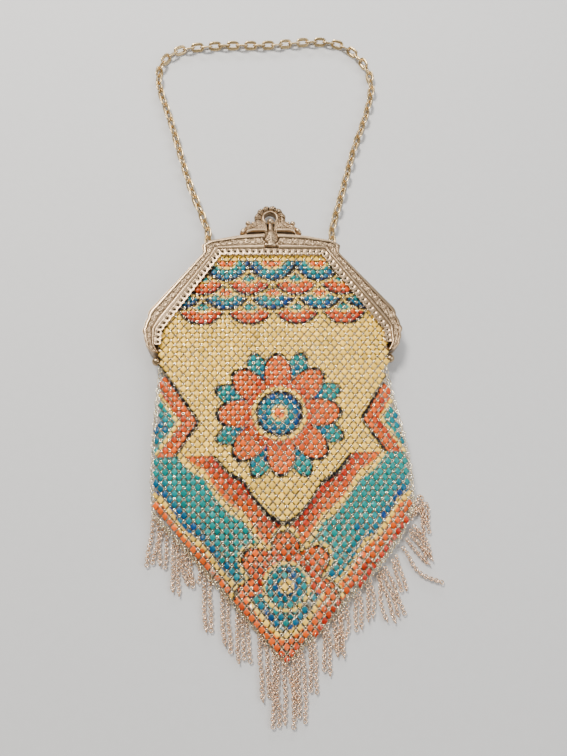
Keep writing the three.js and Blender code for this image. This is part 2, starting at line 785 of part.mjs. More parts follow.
function lock(side, { at, reach, lean, bow, root, end }) {
  const path = headingPath(side);
  const start = path.getPointAt(at);
  const run = path.getTangentAt(at);
  const slant = run.y / run.x;
  const steps = bow === 0 ? [0, 1] : [0, 0.5, 1];
  return loft(steps.map((step) => {
    const half = THREE.MathUtils.lerp(root, end, step) * lockWidth / 2;
    const shift = (lean * step ** 2 + bow * Math.sin(Math.PI * step)) * fringeLength;
    const drop = reach * fringeLength * step;
    const top = fringeThickness * (1 - lockThinning * step);
    const tilt = step === 0 ? slant * half : 0;
    const x = start.x + shift;
    const y = start.y - drop;
    return [
      vector(x - half, y - tilt, 0),
      vector(x + half, y + tilt, 0),
      vector(x + half * lockTop, y + tilt * lockTop, top),
      vector(x - half * lockTop, y - tilt * lockTop, top),
    ];
  }));
}

function fringe(side) {
  const locks = side > 0 ? fringeLocks.right : fringeLocks.left;
  return joined([heading(side), ...locks.map((row) => lock(side, row))]);
}

function tangle() {
  const corner = slantedEdge(1)[0];
  const points = tangleOutline.map(({ out, down }) => (
    vector(corner.x + out * fringeLength, corner.y - down * fringeLength)
  ));
  return plate(points, [0, tangleThickness]);
}

// Chain handle

const endCentre = linkLength / 2 - linkWireRadius;
const innerEnd = endCentre - linkWireRadius * Math.cos(Math.PI / wireSides);
const linkPitch = 2 * innerEnd + linkBite;

// Ring of wire with a flat inside it, where the next one bears, turned to face its own first axis.
function wireRing(radius, wireRadius) {
  const geometry = new THREE.TorusGeometry(radius, wireRadius, wireSides, linkSides);
  geometry.rotateZ(Math.PI / linkSides);
  geometry.scale(1 / Math.cos(Math.PI / linkSides), 1, 1);
  return geometry;
}

// Oval link: a ring whose two ends are drawn apart.
function linkGeometry() {
  const geometry = wireRing(linkWidth / 2 - linkWireRadius, linkWireRadius);
  const stretch = (linkLength - linkWidth) / 2;
  const { position } = geometry.attributes;
  for (let i = 0; i < position.count; i += 1) {
    const end = THREE.MathUtils.clamp(position.getX(i) / linkWireRadius, -1, 1);
    position.setX(i, position.getX(i) + end * stretch);
  }
  return geometry;
}

// Joints of the links, evenly spaced along the route from eye to eye.
function chainJoints() {
  const route = [
    vector(-eyeX, eyeY, eyeZ),
    ...handleRoute.map(([x, y]) => vector(x, y, chainHeight)),
    vector(eyeX, eyeY, eyeZ),
  ];
  const curve = new THREE.CatmullRomCurve3(route, false, 'centripetal');
  curve.arcLengthDivisions = routeDivisions;
  const lead = (endCentre - linkPitch / 2) / curve.getLength();
  const count = Math.round((1 - 2 * lead) * curve.getLength() / linkPitch);
  return Array.from({ length: count + 1 }, (_, i) => curve.getPointAt(lead + (1 - 2 * lead) * (i / count)));
}

function chain() {
  const joints = chainJoints();
  const upward = vector(0, 0, 1);
  return joined(joints.slice(0, -1).map((joint, i) => {
    const next = joints[i + 1];
    const along = next.clone().sub(joint).normalize();
    const sideways = upward.clone().cross(along).normalize();
    const away = Math.abs((i + 0.5) / (joints.length - 1) - 0.5);
    const lean = THREE.MathUtils.smoothstep(away, flatShare, leanShare) * leanAngle;
    const roll = THREE.MathUtils.degToRad(lean + (i % 2) * 90);
    const facing = along.clone().cross(sideways).applyAxisAngle(along, roll);
    const across = facing.clone().cross(along);
    const link = linkGeometry();
    link.applyMatrix4(new THREE.Matrix4().makeBasis(along, across, facing));
    link.translate(...joint.clone().lerp(next, 0.5).toArray());
    return toSolid(link);
  }));
}

const purse = new THREE.Group();

function addPiece(name, solid, finish) {
  const mesh = new THREE.Mesh(toGeometry(solid), new THREE.MeshStandardMaterial(finishes[finish]));
  mesh.name = name;
  purse.add(mesh);
}

addPiece('frame_front', frameFront(), 'frame');
addPiece('frame_back', frameBack(), 'frame');
addPiece('hinge_left', hingeRivet(-1), 'clasp');
addPiece('hinge_right', hingeRivet(1), 'clasp');
addPiece('clasp_tongue', tongue(), 'clasp');
addPiece('clasp_pin', claspPin(), 'clasp');
addPiece('mesh_body', pouch(), 'mesh');
addPiece('fringe_left', fringe(-1), 'fringe');
addPiece('fringe_right', fringe(1).add(tangle()), 'fringe');
addPiece('handle_chain', chain(), 'chain');

export default purse;
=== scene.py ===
import bpy
import mathutils
import numpy as np
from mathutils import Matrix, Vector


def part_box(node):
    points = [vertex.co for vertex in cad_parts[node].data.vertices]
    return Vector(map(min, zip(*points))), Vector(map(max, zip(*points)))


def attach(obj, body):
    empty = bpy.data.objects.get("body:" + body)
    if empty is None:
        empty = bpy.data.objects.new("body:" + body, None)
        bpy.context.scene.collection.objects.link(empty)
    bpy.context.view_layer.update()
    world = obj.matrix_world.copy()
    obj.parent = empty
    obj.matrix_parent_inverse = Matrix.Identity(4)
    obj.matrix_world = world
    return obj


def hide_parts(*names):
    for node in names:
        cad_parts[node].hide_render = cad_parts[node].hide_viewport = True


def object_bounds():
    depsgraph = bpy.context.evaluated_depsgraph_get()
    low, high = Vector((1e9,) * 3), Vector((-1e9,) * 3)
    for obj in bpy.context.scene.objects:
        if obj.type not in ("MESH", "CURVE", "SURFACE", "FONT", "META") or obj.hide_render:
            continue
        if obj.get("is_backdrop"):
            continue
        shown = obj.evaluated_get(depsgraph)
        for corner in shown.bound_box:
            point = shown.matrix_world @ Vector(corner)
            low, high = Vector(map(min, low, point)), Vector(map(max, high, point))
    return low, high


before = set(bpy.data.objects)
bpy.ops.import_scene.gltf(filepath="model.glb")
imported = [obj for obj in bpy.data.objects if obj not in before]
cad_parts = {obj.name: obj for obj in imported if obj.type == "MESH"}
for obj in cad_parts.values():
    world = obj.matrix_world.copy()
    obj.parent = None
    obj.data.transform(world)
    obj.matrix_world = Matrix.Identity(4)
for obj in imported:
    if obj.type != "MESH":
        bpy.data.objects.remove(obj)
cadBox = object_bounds()
mm = 0.001
rng = np.random.default_rng(7)

# Sizes that every piece shares, in millimetres. The width and the bar's top come from the CAD frame.
bar = np.array(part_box("frame_front")) / mm
frameHeight = 57.2
shared = dict(
    halfWidth=bar[1, 0],
    barRise=bar[1, 1],
    middle=5.0,       # level of the parting plane
    tail=bar[1, 1] - frameHeight,
    ringY=14.5,
    hingeX=49.8,
    hingeY=-54.6,
)


# Surfaces from arrays. A shell is a closed surface: points in millimetres, faces by their number of
# corners, and one value or colour for each point in each of its layers.

def gridFaces(rows, columns, loopRows):
    # The four corners of each cell of a grid of points numbered row by row, whose columns loop.
    row = np.arange(rows if loopRows else rows - 1)
    column = np.arange(columns)
    row, column = np.meshgrid(row, column, indexing="ij")
    nextRow = (row + 1) % rows
    nextColumn = (column + 1) % columns
    corners = [
        row * columns + column,
        row * columns + nextColumn,
        nextRow * columns + nextColumn,
        nextRow * columns + column,
    ]
    return np.stack(corners, -1).reshape(-1, 4)


def outward(points, faces):
    # Signed volume: the sum of each face's first corner dotted with its area. Faces turn if it is negative.
    volume = 0.0
    for face in faces:
        ring = points[face]
        area = np.cross(ring[:, 1:-1] - ring[:, :1], ring[:, 2:] - ring[:, :1])
        volume += (ring[:, :1] * area).sum()
    return faces if volume > 0 else [face[:, ::-1] for face in faces]


def skin(rings, looped=False, **layers):
    # Rings of points joined row by row. Unless the rows loop, a fan round its middle closes each end.
    rings = np.asarray(rings, float)
    rows, sides = rings.shape[:2]
    points = rings.reshape(-1, 3)
    flat = {name: np.asarray(value, float).reshape(rows * sides, -1) for name, value in layers.items()}
    faces = [gridFaces(rows, sides, looped)]
    if not looped:
        side = np.arange(sides)
        after = (side + 1) % sides
        last = (rows - 1) * sides
        pole = rows * sides + np.zeros(sides, int)
        first = np.stack([pole, after, side], 1)
        faces.append(np.concatenate([first, np.stack([pole + 1, side + last, after + last], 1)]))
        points = np.concatenate([points, rings[[0, -1]].mean(1)])
        for name, value in flat.items():
            ends = value.reshape(rows, sides, -1)[[0, -1]].mean(1)
            flat[name] = np.concatenate([value, ends])
    return dict(points=points, faces=outward(points, faces), layers=flat)


def together(shells):
    # One shell of many: points follow each other, and face numbers move up by the points before them.
    starts = np.cumsum([0] + [len(shell["points"]) for shell in shells[:-1]])
    faces = {}
    for start, shell in zip(starts, shells):
        for face in shell["faces"]:
            faces.setdefault(face.shape[1], []).append(face + start)
    layers = {
        name: np.concatenate([shell["layers"][name] for shell in shells])
        for name in shells[0]["layers"]
    }
    points = np.concatenate([shell["points"] for shell in shells])
    return dict(points=points, faces=[np.concatenate(face) for face in faces.values()], layers=layers)


def copies(shape, centres, across, along, up):
    # A copy's point = its centre + the shape's x times across + its y times along + its z times up.
    point = shape["points"][None]
    placed = centres[:, None] + point[..., :1] * across[:, None]
    placed = placed + point[..., 1:2] * along[:, None] + point[..., 2:] * up[:, None]
    shift = np.arange(len(centres))[:, None, None] * len(shape["points"])
    faces = [(face[None] + shift).reshape(-1, face.shape[1]) for face in shape["faces"]]
    layers = {name: np.tile(value, (len(centres), 1)) for name, value in shape["layers"].items()}
    return dict(points=placed.reshape(-1, 3), faces=faces, layers=layers)


def putPiece(name, shell, material, body="purse", replaces=()):
    # The shell's arrays go straight into one mesh object at the origin, in metres.
    mesh = bpy.data.meshes.new(name)
    points = shell["points"] * mm
    sizes = np.concatenate([np.full(len(face), face.shape[1]) for face in shell["faces"]])
    corners = np.concatenate([face.ravel() for face in shell["faces"]])
    mesh.vertices.add(len(points))
    mesh.vertices.foreach_set("co", points.ravel())
    mesh.loops.add(len(corners))
    mesh.loops.foreach_set("vertex_index", corners.astype(np.int32))
    mesh.polygons.add(len(sizes))
    mesh.polygons.foreach_set("loop_start", (np.cumsum(sizes) - sizes).astype(np.int32))
    mesh.polygons.foreach_set("use_smooth", np.ones(len(sizes), bool))
    mesh.update(calc_edges=True)
    for layer, value in shell["layers"].items():
        colour = value.shape[1] == 3
        attribute = mesh.attributes.new(layer, "FLOAT_COLOR" if colour else "FLOAT", "POINT")
        if colour:
            full = np.concatenate([value, np.ones((len(value), 1))], 1)
            attribute.data.foreach_set("color", full.astype(np.float32).ravel())
        else:
            attribute.data.foreach_set("value", value.astype(np.float32).ravel())
    mesh.materials.append(material)
    piece = bpy.data.objects.new(name, mesh)
    bpy.context.scene.collection.objects.link(piece)
    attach(piece, body)
    if replaces:
        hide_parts(*replaces)
    print(f"{name}: {(sizes - 2).sum()} triangles")


def unit(vectors):
    return vectors / np.linalg.norm(vectors, axis=-1, keepdims=True)


def evenLine(points, step, soft=0.0):
    # Points every step along a broken line, then averaged over the length soft, which rounds its corners.
    points = np.asarray(points, float)
    run = np.concatenate([[0], np.cumsum(np.linalg.norm(np.diff(points[:, :2], axis=0), axis=1))])
    place = np.linspace(0, run[-1], int(round(run[-1] / step)) + 1)
    line = np.stack([np.interp(place, run, column) for column in points.T], 1)
    reach = int(soft / step / 2)
    if reach:
        padded = np.concatenate([
            2 * line[0] - line[reach:0:-1], line, 2 * line[-1] - line[-2:-reach - 2:-1],
        ])
        weight = np.hanning(2 * reach + 3)[1:-1]
        weight = weight / weight.sum()
        line = np.stack([np.convolve(column, weight, "valid") for column in padded.T], 1)
    return line


def smoothRoute(points, step):
    # Cubic through the chosen points with knots at the root of each chord, then evened out by length.
    points = np.asarray(points, float)
    knots = np.concatenate([[0], np.cumsum(np.linalg.norm(np.diff(points, axis=0), axis=1) ** 0.5)])
    slope = np.gradient(points, knots, axis=0)
    fine = np.linspace(0, knots[-1], 4000)
    part = np.clip(np.searchsorted(knots, fine, "right") - 1, 0, len(knots) - 2)
    gap = (knots[part + 1] - knots[part])[:, None]
    share = (fine[:, None] - knots[part][:, None]) / gap
    curve = (2 * share ** 3 - 3 * share ** 2 + 1) * points[part]
    curve += (share ** 3 - 2 * share ** 2 + share) * gap * slope[part]
    curve += (3 * share ** 2 - 2 * share ** 3) * points[part + 1]
    curve += (share ** 3 - share ** 2) * gap * slope[part + 1]
    run = np.concatenate([[0], np.cumsum(np.linalg.norm(np.diff(curve, axis=0), axis=1))])
    place = np.linspace(0, run[-1], int(round(run[-1] / step)) + 1)
    return np.stack([np.interp(place, run, column) for column in curve.T], 1)


def ovalRing(length, width, wire, around, sides, broad=0.0, thin=1.0, **layers):
    # A round ring whose halves are drawn apart along x by what its length has over its width.
    # broad is how much wider, as a share, its wire is along the sides than at the two ends, and thin how
    # thick it is through the ring's plane, as a share of its width at the ends.
    turn = np.arange(around) / around * 2 * np.pi
    roll = np.arange(sides) / sides * 2 * np.pi
    turn, roll = np.meshgrid(turn, roll, indexing="ij")
    half = wire * (1 + broad * np.sin(turn) ** 2)
    reach = width / 2 - half + half * np.cos(roll)
    stretch = (length - width) / 2 * np.clip(2.2 * np.cos(turn), -1, 1)
    rings = np.stack([reach * np.cos(turn) + stretch, reach * np.sin(turn), wire * thin * np.sin(roll)], -1)
    values = {name: np.full(turn.shape, value) for name, value in layers.items()}
    return skin(rings, True, **values)


def turned(profile, sides, centre, axis, **layers):
    # A profile of (along, radius) turned round an axis through the centre.
    profile = np.asarray(profile, float)
    angle = np.arange(sides) / sides * 2 * np.pi
    axis = unit(np.asarray(axis, float))
    first = unit(np.cross(axis, (0.3, 0.5, 0.8)))
    second = np.cross(axis, first)
    spoke = np.cos(angle)[:, None] * first + np.sin(angle)[:, None] * second
    rings = profile[:, :1, None] * axis + profile[:, 1:, None] * spoke[None]
    values = {name: np.full(rings.shape[:2], value) for name, value in layers.items()}
    return skin(rings + np.asarray(centre, float), **values)


def ball(centre, radius, rows=14, sides=20, **layers):
    # A round profile: along = radius times the cosine of the latitude, and radius times its sine.
    tilt = np.linspace(0.12, np.pi - 0.12, rows)
    profile = np.stack([-radius * np.cos(tilt), radius * np.sin(tilt)], 1)
    return turned(profile, sides, centre, (0, 0, 1), **layers)


def wire(path, radii, sides, **layers):
    # Rings of the given radii, square to the path, whose sideways direction stays level.
    path = np.asarray(path, float)
    ahead = unit(np.gradient(path, axis=0))
    level = unit(np.cross(ahead, (0.02, 0.01, 1.0)))
    rise = np.cross(level, ahead)
    angle = np.arange(sides) / sides * 2 * np.pi
    radii = np.broadcast_to(radii, len(path))[:, None, None]
    rings = path[:, None] + radii * (
        np.cos(angle)[None, :, None] * level[:, None] + np.sin(angle)[None, :, None] * rise[:, None]
    )
    values = {name: np.full(rings.shape[:2], value) for name, value in layers.items()}
    return skin(rings, **values)


# Node groups and materials

def newGroup(name, inputs, outputs):
    group = bpy.data.node_groups.new(name, "ShaderNodeTree")
    for label, kind, value in inputs:
        socket = group.interface.new_socket(name=label, in_out="INPUT", socket_type=kind)
        socket.default_value = value
    for label, kind in outputs:
        group.interface.new_socket(name=label, in_out="OUTPUT", socket_type=kind)
    return group, group.nodes.new("NodeGroupInput"), group.nodes.new("NodeGroupOutput")


def mathNode(tree, kind, first, second=None, clamp=False):
    node = tree.nodes.new("ShaderNodeMath")
    node.operation = kind
    node.use_clamp = clamp
    for socket, value in zip(node.inputs, (first, second)):
        if isinstance(value, bpy.types.NodeSocket):
            tree.links.new(value, socket)
        elif value is not None:
            socket.default_value = value
    return node.outputs[0]


def mixColour(tree, factor, first, second, blend="MIX"):
    node = tree.nodes.new("ShaderNodeMix")
    node.data_type = "RGBA"
    node.blend_type = blend
    for name, value in (("Factor_Float", factor), ("A_Color", first), ("B_Color", second)):
        socket = next(item for item in node.inputs if item.identifier == name)
        if isinstance(value, bpy.types.NodeSocket):
            tree.links.new(value, socket)
        else:
            socket.default_value = value
    return next(item for item in node.outputs if item.identifier == "Result_Color")


def noiseNode(tree, scale, detail=3.0, rough=0.6):
    # Noise on the object's own coordinates, so it stays on the piece.
    place = tree.nodes.new("ShaderNodeTexCoord")
    noise = tree.nodes.new("ShaderNodeTexNoise")
    noise.inputs["Detail"].default_value = detail
    noise.inputs["Roughness"].default_value = rough
    if isinstance(scale, bpy.types.NodeSocket):
        tree.links.new(scale, noise.inputs["Scale"])
    else:
        noise.inputs["Scale"].default_value = scale
    tree.links.new(place.outputs["Object"], noise.inputs["Vector"])
    return noise.outputs["Fac"]


def rgb(red, green, blue):
    # From the 0 to 255 of a colour picker to the linear values that shaders use.
    value = np.array([red, green, blue]) / 255
    return np.where(value < 0.04045, value / 12.92, ((value + 0.055) / 1.055) ** 2.4)


def rgba(colour):
    return (*[float(value) for value in colour], 1.0)


def makeWornMetal():
    # Tarnish gathers where relief is low: worn = relief pushed apart, plus or minus a little of the noise.
    group, given, made = newGroup("wornMetal", [
        ("Bright", "NodeSocketColor", (0.7, 0.7, 0.7, 1)),
        ("Tarnish", "NodeSocketColor", (0.1, 0.1, 0.1, 1)),
        ("Relief", "NodeSocketFloat", 1.0),
        ("Scale", "NodeSocketFloat", 900.0),
        ("Smooth", "NodeSocketFloat", 0.25),
        ("Dull", "NodeSocketFloat", 0.6),
    ], [("Color", "NodeSocketColor"), ("Roughness", "NodeSocketFloat"), ("Height", "NodeSocketFloat")])
    patches = noiseNode(group, given.outputs["Scale"])
    fine = noiseNode(group, mathNode(group, "MULTIPLY", given.outputs["Scale"], 6.0), 2.0)
    drift = mathNode(group, "MULTIPLY", mathNode(group, "SUBTRACT", patches, 0.5), 0.9)
    worn = mathNode(group, "ADD", given.outputs["Relief"], drift, clamp=True)
    colour = mixColour(group, worn, given.outputs["Tarnish"], given.outputs["Bright"])
    group.links.new(colour, made.inputs["Color"])
    gap = mathNode(group, "SUBTRACT", given.outputs["Smooth"], given.outputs["Dull"])
    rough = mathNode(group, "ADD", given.outputs["Dull"], mathNode(group, "MULTIPLY", worn, gap))
    group.links.new(rough, made.inputs["Roughness"])
    group.links.new(fine, made.inputs["Height"])
    return group


wornMetal = makeWornMetal()


def newMaterial(name):
    material = bpy.data.materials.new(name)
    material.use_nodes = True
    return material, material.node_tree, material.node_tree.nodes["Principled BSDF"]


def attributeNode(tree, name, output="Fac"):
    node = tree.nodes.new("ShaderNodeAttribute")
    node.attribute_name = name
    return node.outputs[output]


def wornNode(tree, bright, tarnish, scale, smooth, dull):
    node = tree.nodes.new("ShaderNodeGroup")
    node.node_tree = wornMetal
    colours = dict(Bright=rgba(rgb(*bright)), Tarnish=rgba(rgb(*tarnish)))
    for label, value in dict(colours, Scale=scale, Smooth=smooth, Dull=dull).items():
        node.inputs[label].default_value = value
    return node


def addBump(tree, shader, height, distance):
    node = tree.nodes.new("ShaderNodeBump")
    node.inputs["Distance"].default_value = distance * mm
    node.inputs["Strength"].default_value = 0.5
    tree.links.new(height, node.inputs["Height"])
    tree.links.new(node.outputs["Normal"], shader.inputs["Normal"])


def grey(tree, level):
    node = tree.nodes.new("ShaderNodeCombineColor")
    for socket in node.inputs:
        tree.links.new(level, socket)
    return node.outputs["Color"]


def metal(name, bright, tarnish, scale, smooth, dull, bump, relief=None):
    # Metal whose tarnish follows the piece's relief layer, or one even relief where it has none.
    material, tree, shader = newMaterial(name)
    worn = wornNode(tree, bright, tarnish, scale, smooth, dull)
    if relief is None:
        tree.links.new(attributeNode(tree, "relief"), worn.inputs["Relief"])
    else:
        worn.inputs["Relief"].default_value = relief
    tree.links.new(worn.outputs["Color"], shader.inputs["Base Color"])
    tree.links.new(worn.outputs["Roughness"], shader.inputs["Roughness"])
    shader.inputs["Metallic"].default_value = 1.0
    addBump(tree, shader, worn.outputs["Height"], bump)
    return material


castSilver = metal("castSilver", (198, 170, 136), (50, 38, 28), 1100, 0.28, 0.56, 0.05)
polishedSilver = metal("polishedSilver", (188, 162, 126), (74, 58, 44), 800, 0.26, 0.5, 0.03)
ringSilver = metal("ringSilver", (255, 240, 206), (206, 174, 122), 500, 0.14, 0.3, 0.01, 0.85)
fringeSilver = metal("fringeSilver", (255, 222, 188), (170, 128, 98), 260, 0.2, 0.42, 0.01, 0.78)
chainSilver = metal("chainSilver", (226, 198, 148), (92, 70, 44), 300, 0.24, 0.46, 0.02, 0.74)


def makeEnamel():
    # Enamel's own colour, and bare metal where the worn layer, broken up by noise, passes a half.
    material, tree, shader = newMaterial("platedEnamel")
    worn = wornNode(tree, (232, 222, 196), (120, 104, 80), 900, 0.2, 0.5)
    worn.inputs["Relief"].default_value = 0.7
    chips = mathNode(tree, "SUBTRACT", noiseNode(tree, 1500, 2.0), 0.5)
    edge = mathNode(tree, "ADD", attributeNode(tree, "bare"), mathNode(tree, "MULTIPLY", chips, 1.3))
    bare = mathNode(tree, "MULTIPLY", mathNode(tree, "SUBTRACT", edge, 0.5), 5.0, clamp=True)
    cloud = noiseNode(tree, 420, 3.0)
    depth = mathNode(tree, "ADD", mathNode(tree, "MULTIPLY", cloud, 0.5), 0.75)
    varied = mixColour(tree, 1.0, attributeNode(tree, "enamel", "Color"), grey(tree, depth), "MULTIPLY")
    colour = mixColour(tree, bare, varied, worn.outputs["Color"])
    tree.links.new(colour, shader.inputs["Base Color"])
    tree.links.new(bare, shader.inputs["Metallic"])
    rough = mathNode(tree, "ADD", mathNode(tree, "MULTIPLY", cloud, 0.2), 0.24)
    tree.links.new(rough, shader.inputs["Roughness"])
    shader.inputs["Specular IOR Level"].default_value = 0.25
    shader.inputs["Coat Weight"].default_value = 0.08
    shader.inputs["Coat Roughness"].default_value = 0.1
    addBump(tree, shader, noiseNode(tree, 3000, 2.0), 0.03)
    return material


platedEnamel = makeEnamel()
print("materials made")


# Frame: two cast halves with a moulded band, a pierced flange and relief

frameForm = dict(
    bandDepth=0.7,
    outerDrop=1.0,
    innerDrop=0.5,
    parting=0.15,
    reliefHeight=0.66,
    scrollPitch=5.4,
    scallop=0.4,     # leafy outline at the lower corners
    scallopPitch=3.4,
    step=0.24,
    columns=40,
    flangeWidth=3.0,
    flangeTop=4.4,    # above the parting plane
    flangeThick=0.8,
    flangeLap=0.4,    # under the moulding
    cornerY=-41.5,    # middle of the leafy corners
    cornerReach=7.5,
    holeInset=1.55,
    holeRadius=0.52,
    recessDepth=1.7,
)

# One side from the middle of the bar to the tail. outX, inX: shares of the half width.
# outY, inY: shares of the frame's height, down from the bar's top.
frameStations = np.array([
    (0.000, 0.000, 0.000, 0.140),
    (0.279, 0.021, 0.232, 0.140),
    (0.507, 0.068, 0.402, 0.140),
    (0.564, 0.108, 0.432, 0.140),
    (0.546, 0.171, 0.468, 0.190),
    (0.957, 0.661, 0.857, 0.735),
    (0.968, 0.731, 0.893, 0.785),
    (1.000, 0.818, 0.909, 0.812),
    (0.968, 0.955, 0.914, 0.937),
    (0.927, 0.998, 0.882, 1.000),
])
# Rows of frameStations that the flange turns at, from the tail up to the bar.
flangeStations = [8, 7, 3]
# The hollow that the tongue lies in: y, half width.
recessShape = np.array([
    (-2.9, 3.2),
    (-0.2, 3.2),
    (0.4, 2.7),
    (1.8, 3.8),
    (3.7, 2.9),
    (5.2, 2.4),
])


def frameSide(side):
    # Shares of the half width and the height become places: x outer, y outer, x inner, y inner.
    wide = shared["halfWidth"]
    top = shared["barRise"]
    outX, outY, inX, inY = frameStations.T
    outer = [side * outX * wide, top - outY * frameHeight]
    inner = [side * inX * wide, top - inY * frameHeight]
    return np.stack(outer + inner, 1)


def scrollRelief(run, across, pitch):
    # A wavy stem (a bell round a sine), and in each bend a curling leaf of three lobes (an ellipse's dome,
    # cut by ribs), a ring with a bead, and a small berry. The ground between them is finely hatched.
    form = 2 * np.pi * run / pitch
    stem = np.exp(-((across - 0.5 * np.sin(form)) / 0.15) ** 2)
    half = pitch / 2
    bend = np.floor(run / half)
    local = (run - (bend + 0.5) * half) / half
    sign = np.where(bend % 2 == 0, -1.0, 1.0)
    rise = across * sign
    leaf = 1 - ((local + 0.05) / 0.46) ** 2 - ((rise - 0.5 - 0.3 * local) / 0.5) ** 2
    ribs = 0.7 + 0.3 * np.cos(11 * np.arctan2(rise - 0.1, local + 0.02) + 1.2)
    leaf = np.sqrt(np.clip(leaf, 0, 1)) * ribs
    curl = np.hypot((local - 0.06) / 0.3, (rise + 0.2) / 0.4)
    curl = np.maximum(0.62 * np.exp(-((curl - 0.85) / 0.22) ** 2), 0.85 * np.exp(-(curl / 0.36) ** 2))
    berry = np.exp(-((np.abs(local) - 0.42) ** 2 / 0.006 + (rise + 0.72) ** 2 / 0.03))
    hatch = 0.14 * np.cos(9 * run + 7 * across) * np.cos(9 * run - 7 * across)
    return np.maximum.reduce([0.78 * stem, leaf, curl, 0.9 * berry]) + hatch


def moulding(face):
    # Sections from the outer wall over the moulded band to the inner wall, carried along the frame.
    # Height = the profile's straight pieces, smoothed, + the scroll relief inside the band.
    f = frameForm
    left = frameSide(-1)[1:][::-1]
    line = evenLine(np.concatenate([left, frameSide(1)]), f["step"], 2.6)
    outer, inner = line[:, :2], line[:, 2:]
    centre = (outer + inner) / 2
    run = np.concatenate([[0], np.cumsum(np.linalg.norm(np.diff(centre, axis=0), axis=1))])
    run = run - run[-1] / 2
    away = unit(outer - inner)
    half = len(run) // 2
    cornerRun = np.interp(f["cornerY"], centre[::-1, 1][:half], np.abs(run)[::-1][:half])
    corner = np.exp(-((np.abs(run) - cornerRun) / f["cornerReach"]) ** 4)
    scallop = f["scallop"] * corner * np.abs(np.sin(np.pi * run / f["scallopPitch"]))
    outer = outer + away * scallop[:, None]
    width = np.linalg.norm(outer - inner, axis=1)[:, None]
    even = np.linspace(0, 1, f["columns"])[None]
    share = (1 - np.cos(np.pi * even)) / 4 + even / 2
    place = share * width
    squeeze = np.minimum(1.5, width / 5.0)   # the rims are broader on the bar
    fromOut = place / squeeze
    fromIn = (width - place) / squeeze
    rimTop = shared["middle"]
    floorTop = rimTop - f["bandDepth"]
    outDrops = [-f["outerDrop"], -0.4, -0.06, 0, -f["bandDepth"]]
    inDrops = [-f["innerDrop"], -0.12, -0.04, -0.2, -f["bandDepth"]]
    outSide = np.interp(fromOut, [0, 0.3, 0.7, 1.2, 1.6], outDrops)
    inSide = np.interp(fromIn, [0, 0.3, 0.8, 1.1, 1.5], inDrops)
    height = rimTop + np.maximum(outSide, inSide)
    band = np.clip(np.minimum(fromOut - 1.3, fromIn - 1.2) / 0.4, 0, 1)
    across = np.clip((place - 1.4 * squeeze) / (width - 2.8 * squeeze), 0, 1) * 2 - 1
    pattern = scrollRelief(np.abs(run)[:, None] + 0.9, across, f["scrollPitch"])
    height = height + f["reliefHeight"] * pattern * band
    ticks = np.cos(2 * np.pi * run / 0.9)[:, None] * np.exp(-((fromOut - 0.55) / 0.22) ** 2)
    height = height + 0.07 * ticks
    height = np.minimum(height, rimTop)
    relief = np.where(band > 0.02, 0.3 + 0.75 * pattern, 0.92 + 0.2 * ticks)
    relief = np.where((fromIn > 1.1) & (fromIn < 1.6), 0.25, relief)
    top = outer[:, None] + (inner - outer)[:, None] * share[..., None]
    if face > 0:
        clear = np.interp(top[..., 1], recessShape[:, 0], recessShape[:, 1])
        inRecess = (np.abs(top[..., 0]) < clear) & (top[..., 1] > recessShape[0, 0])
        height = np.where(inRecess, np.minimum(height, rimTop - f["recessDepth"]), height)
        relief = np.where(inRecess, 0.3, relief)
    wallOut = np.linspace(f["parting"], 1, 6)[None, :-1] * height[:, :1]
    wallIn = np.linspace(1, f["parting"], 6)[None, 1:] * height[:, -1:]
    wallOut[:, 0] = f["parting"]
    wallIn[:, -1] = f["parting"]
    flatX = [np.repeat(outer[:, None], 5, 1), top, np.repeat(inner[:, None], 5, 1)]
    level = np.concatenate([wallOut, height, wallIn], 1)
    worn = np.concatenate([np.full(wallOut.shape, 0.6), relief, np.full(wallIn.shape, 0.35)], 1)
    rings = np.concatenate([np.concatenate(flatX, 1), (rimTop + face * level)[..., None]], 2)
    return skin(rings, relief=worn)


def flangeLine():
    right = frameSide(1)[:, 2:]
    left = frameSide(-1)[:, 2:]
    return np.concatenate([left[flangeStations], right[flangeStations[::-1]]])


def offsetLine(points, distance):
    # Each corner moves out along the mean of its two sides' normals, by distance over its cosine.
    step = unit(np.diff(points, axis=0))
    before = np.concatenate([step[:1], step])
    after = np.concatenate([step, step[-1:]])
    run = unit(before + after)
    stretch = 1 / (run * before).sum(1)
    normal = np.stack([-run[:, 1], run[:, 0]], 1)
    return points + normal * (distance * stretch)[:, None]


def flangeTiles():
    # Where the holes are: for each straight stretch its four corners, and how many holes it takes.
    outerLine = offsetLine(flangeLine(), frameForm["flangeLap"])
    innerLine = offsetLine(flangeLine(), -frameForm["flangeWidth"])
    found = []
    for i, count in enumerate([3, 18, 17, 18, 3]):
        found.append((outerLine[i], outerLine[i + 1], innerLine[i], innerLine[i + 1], count))
    return found


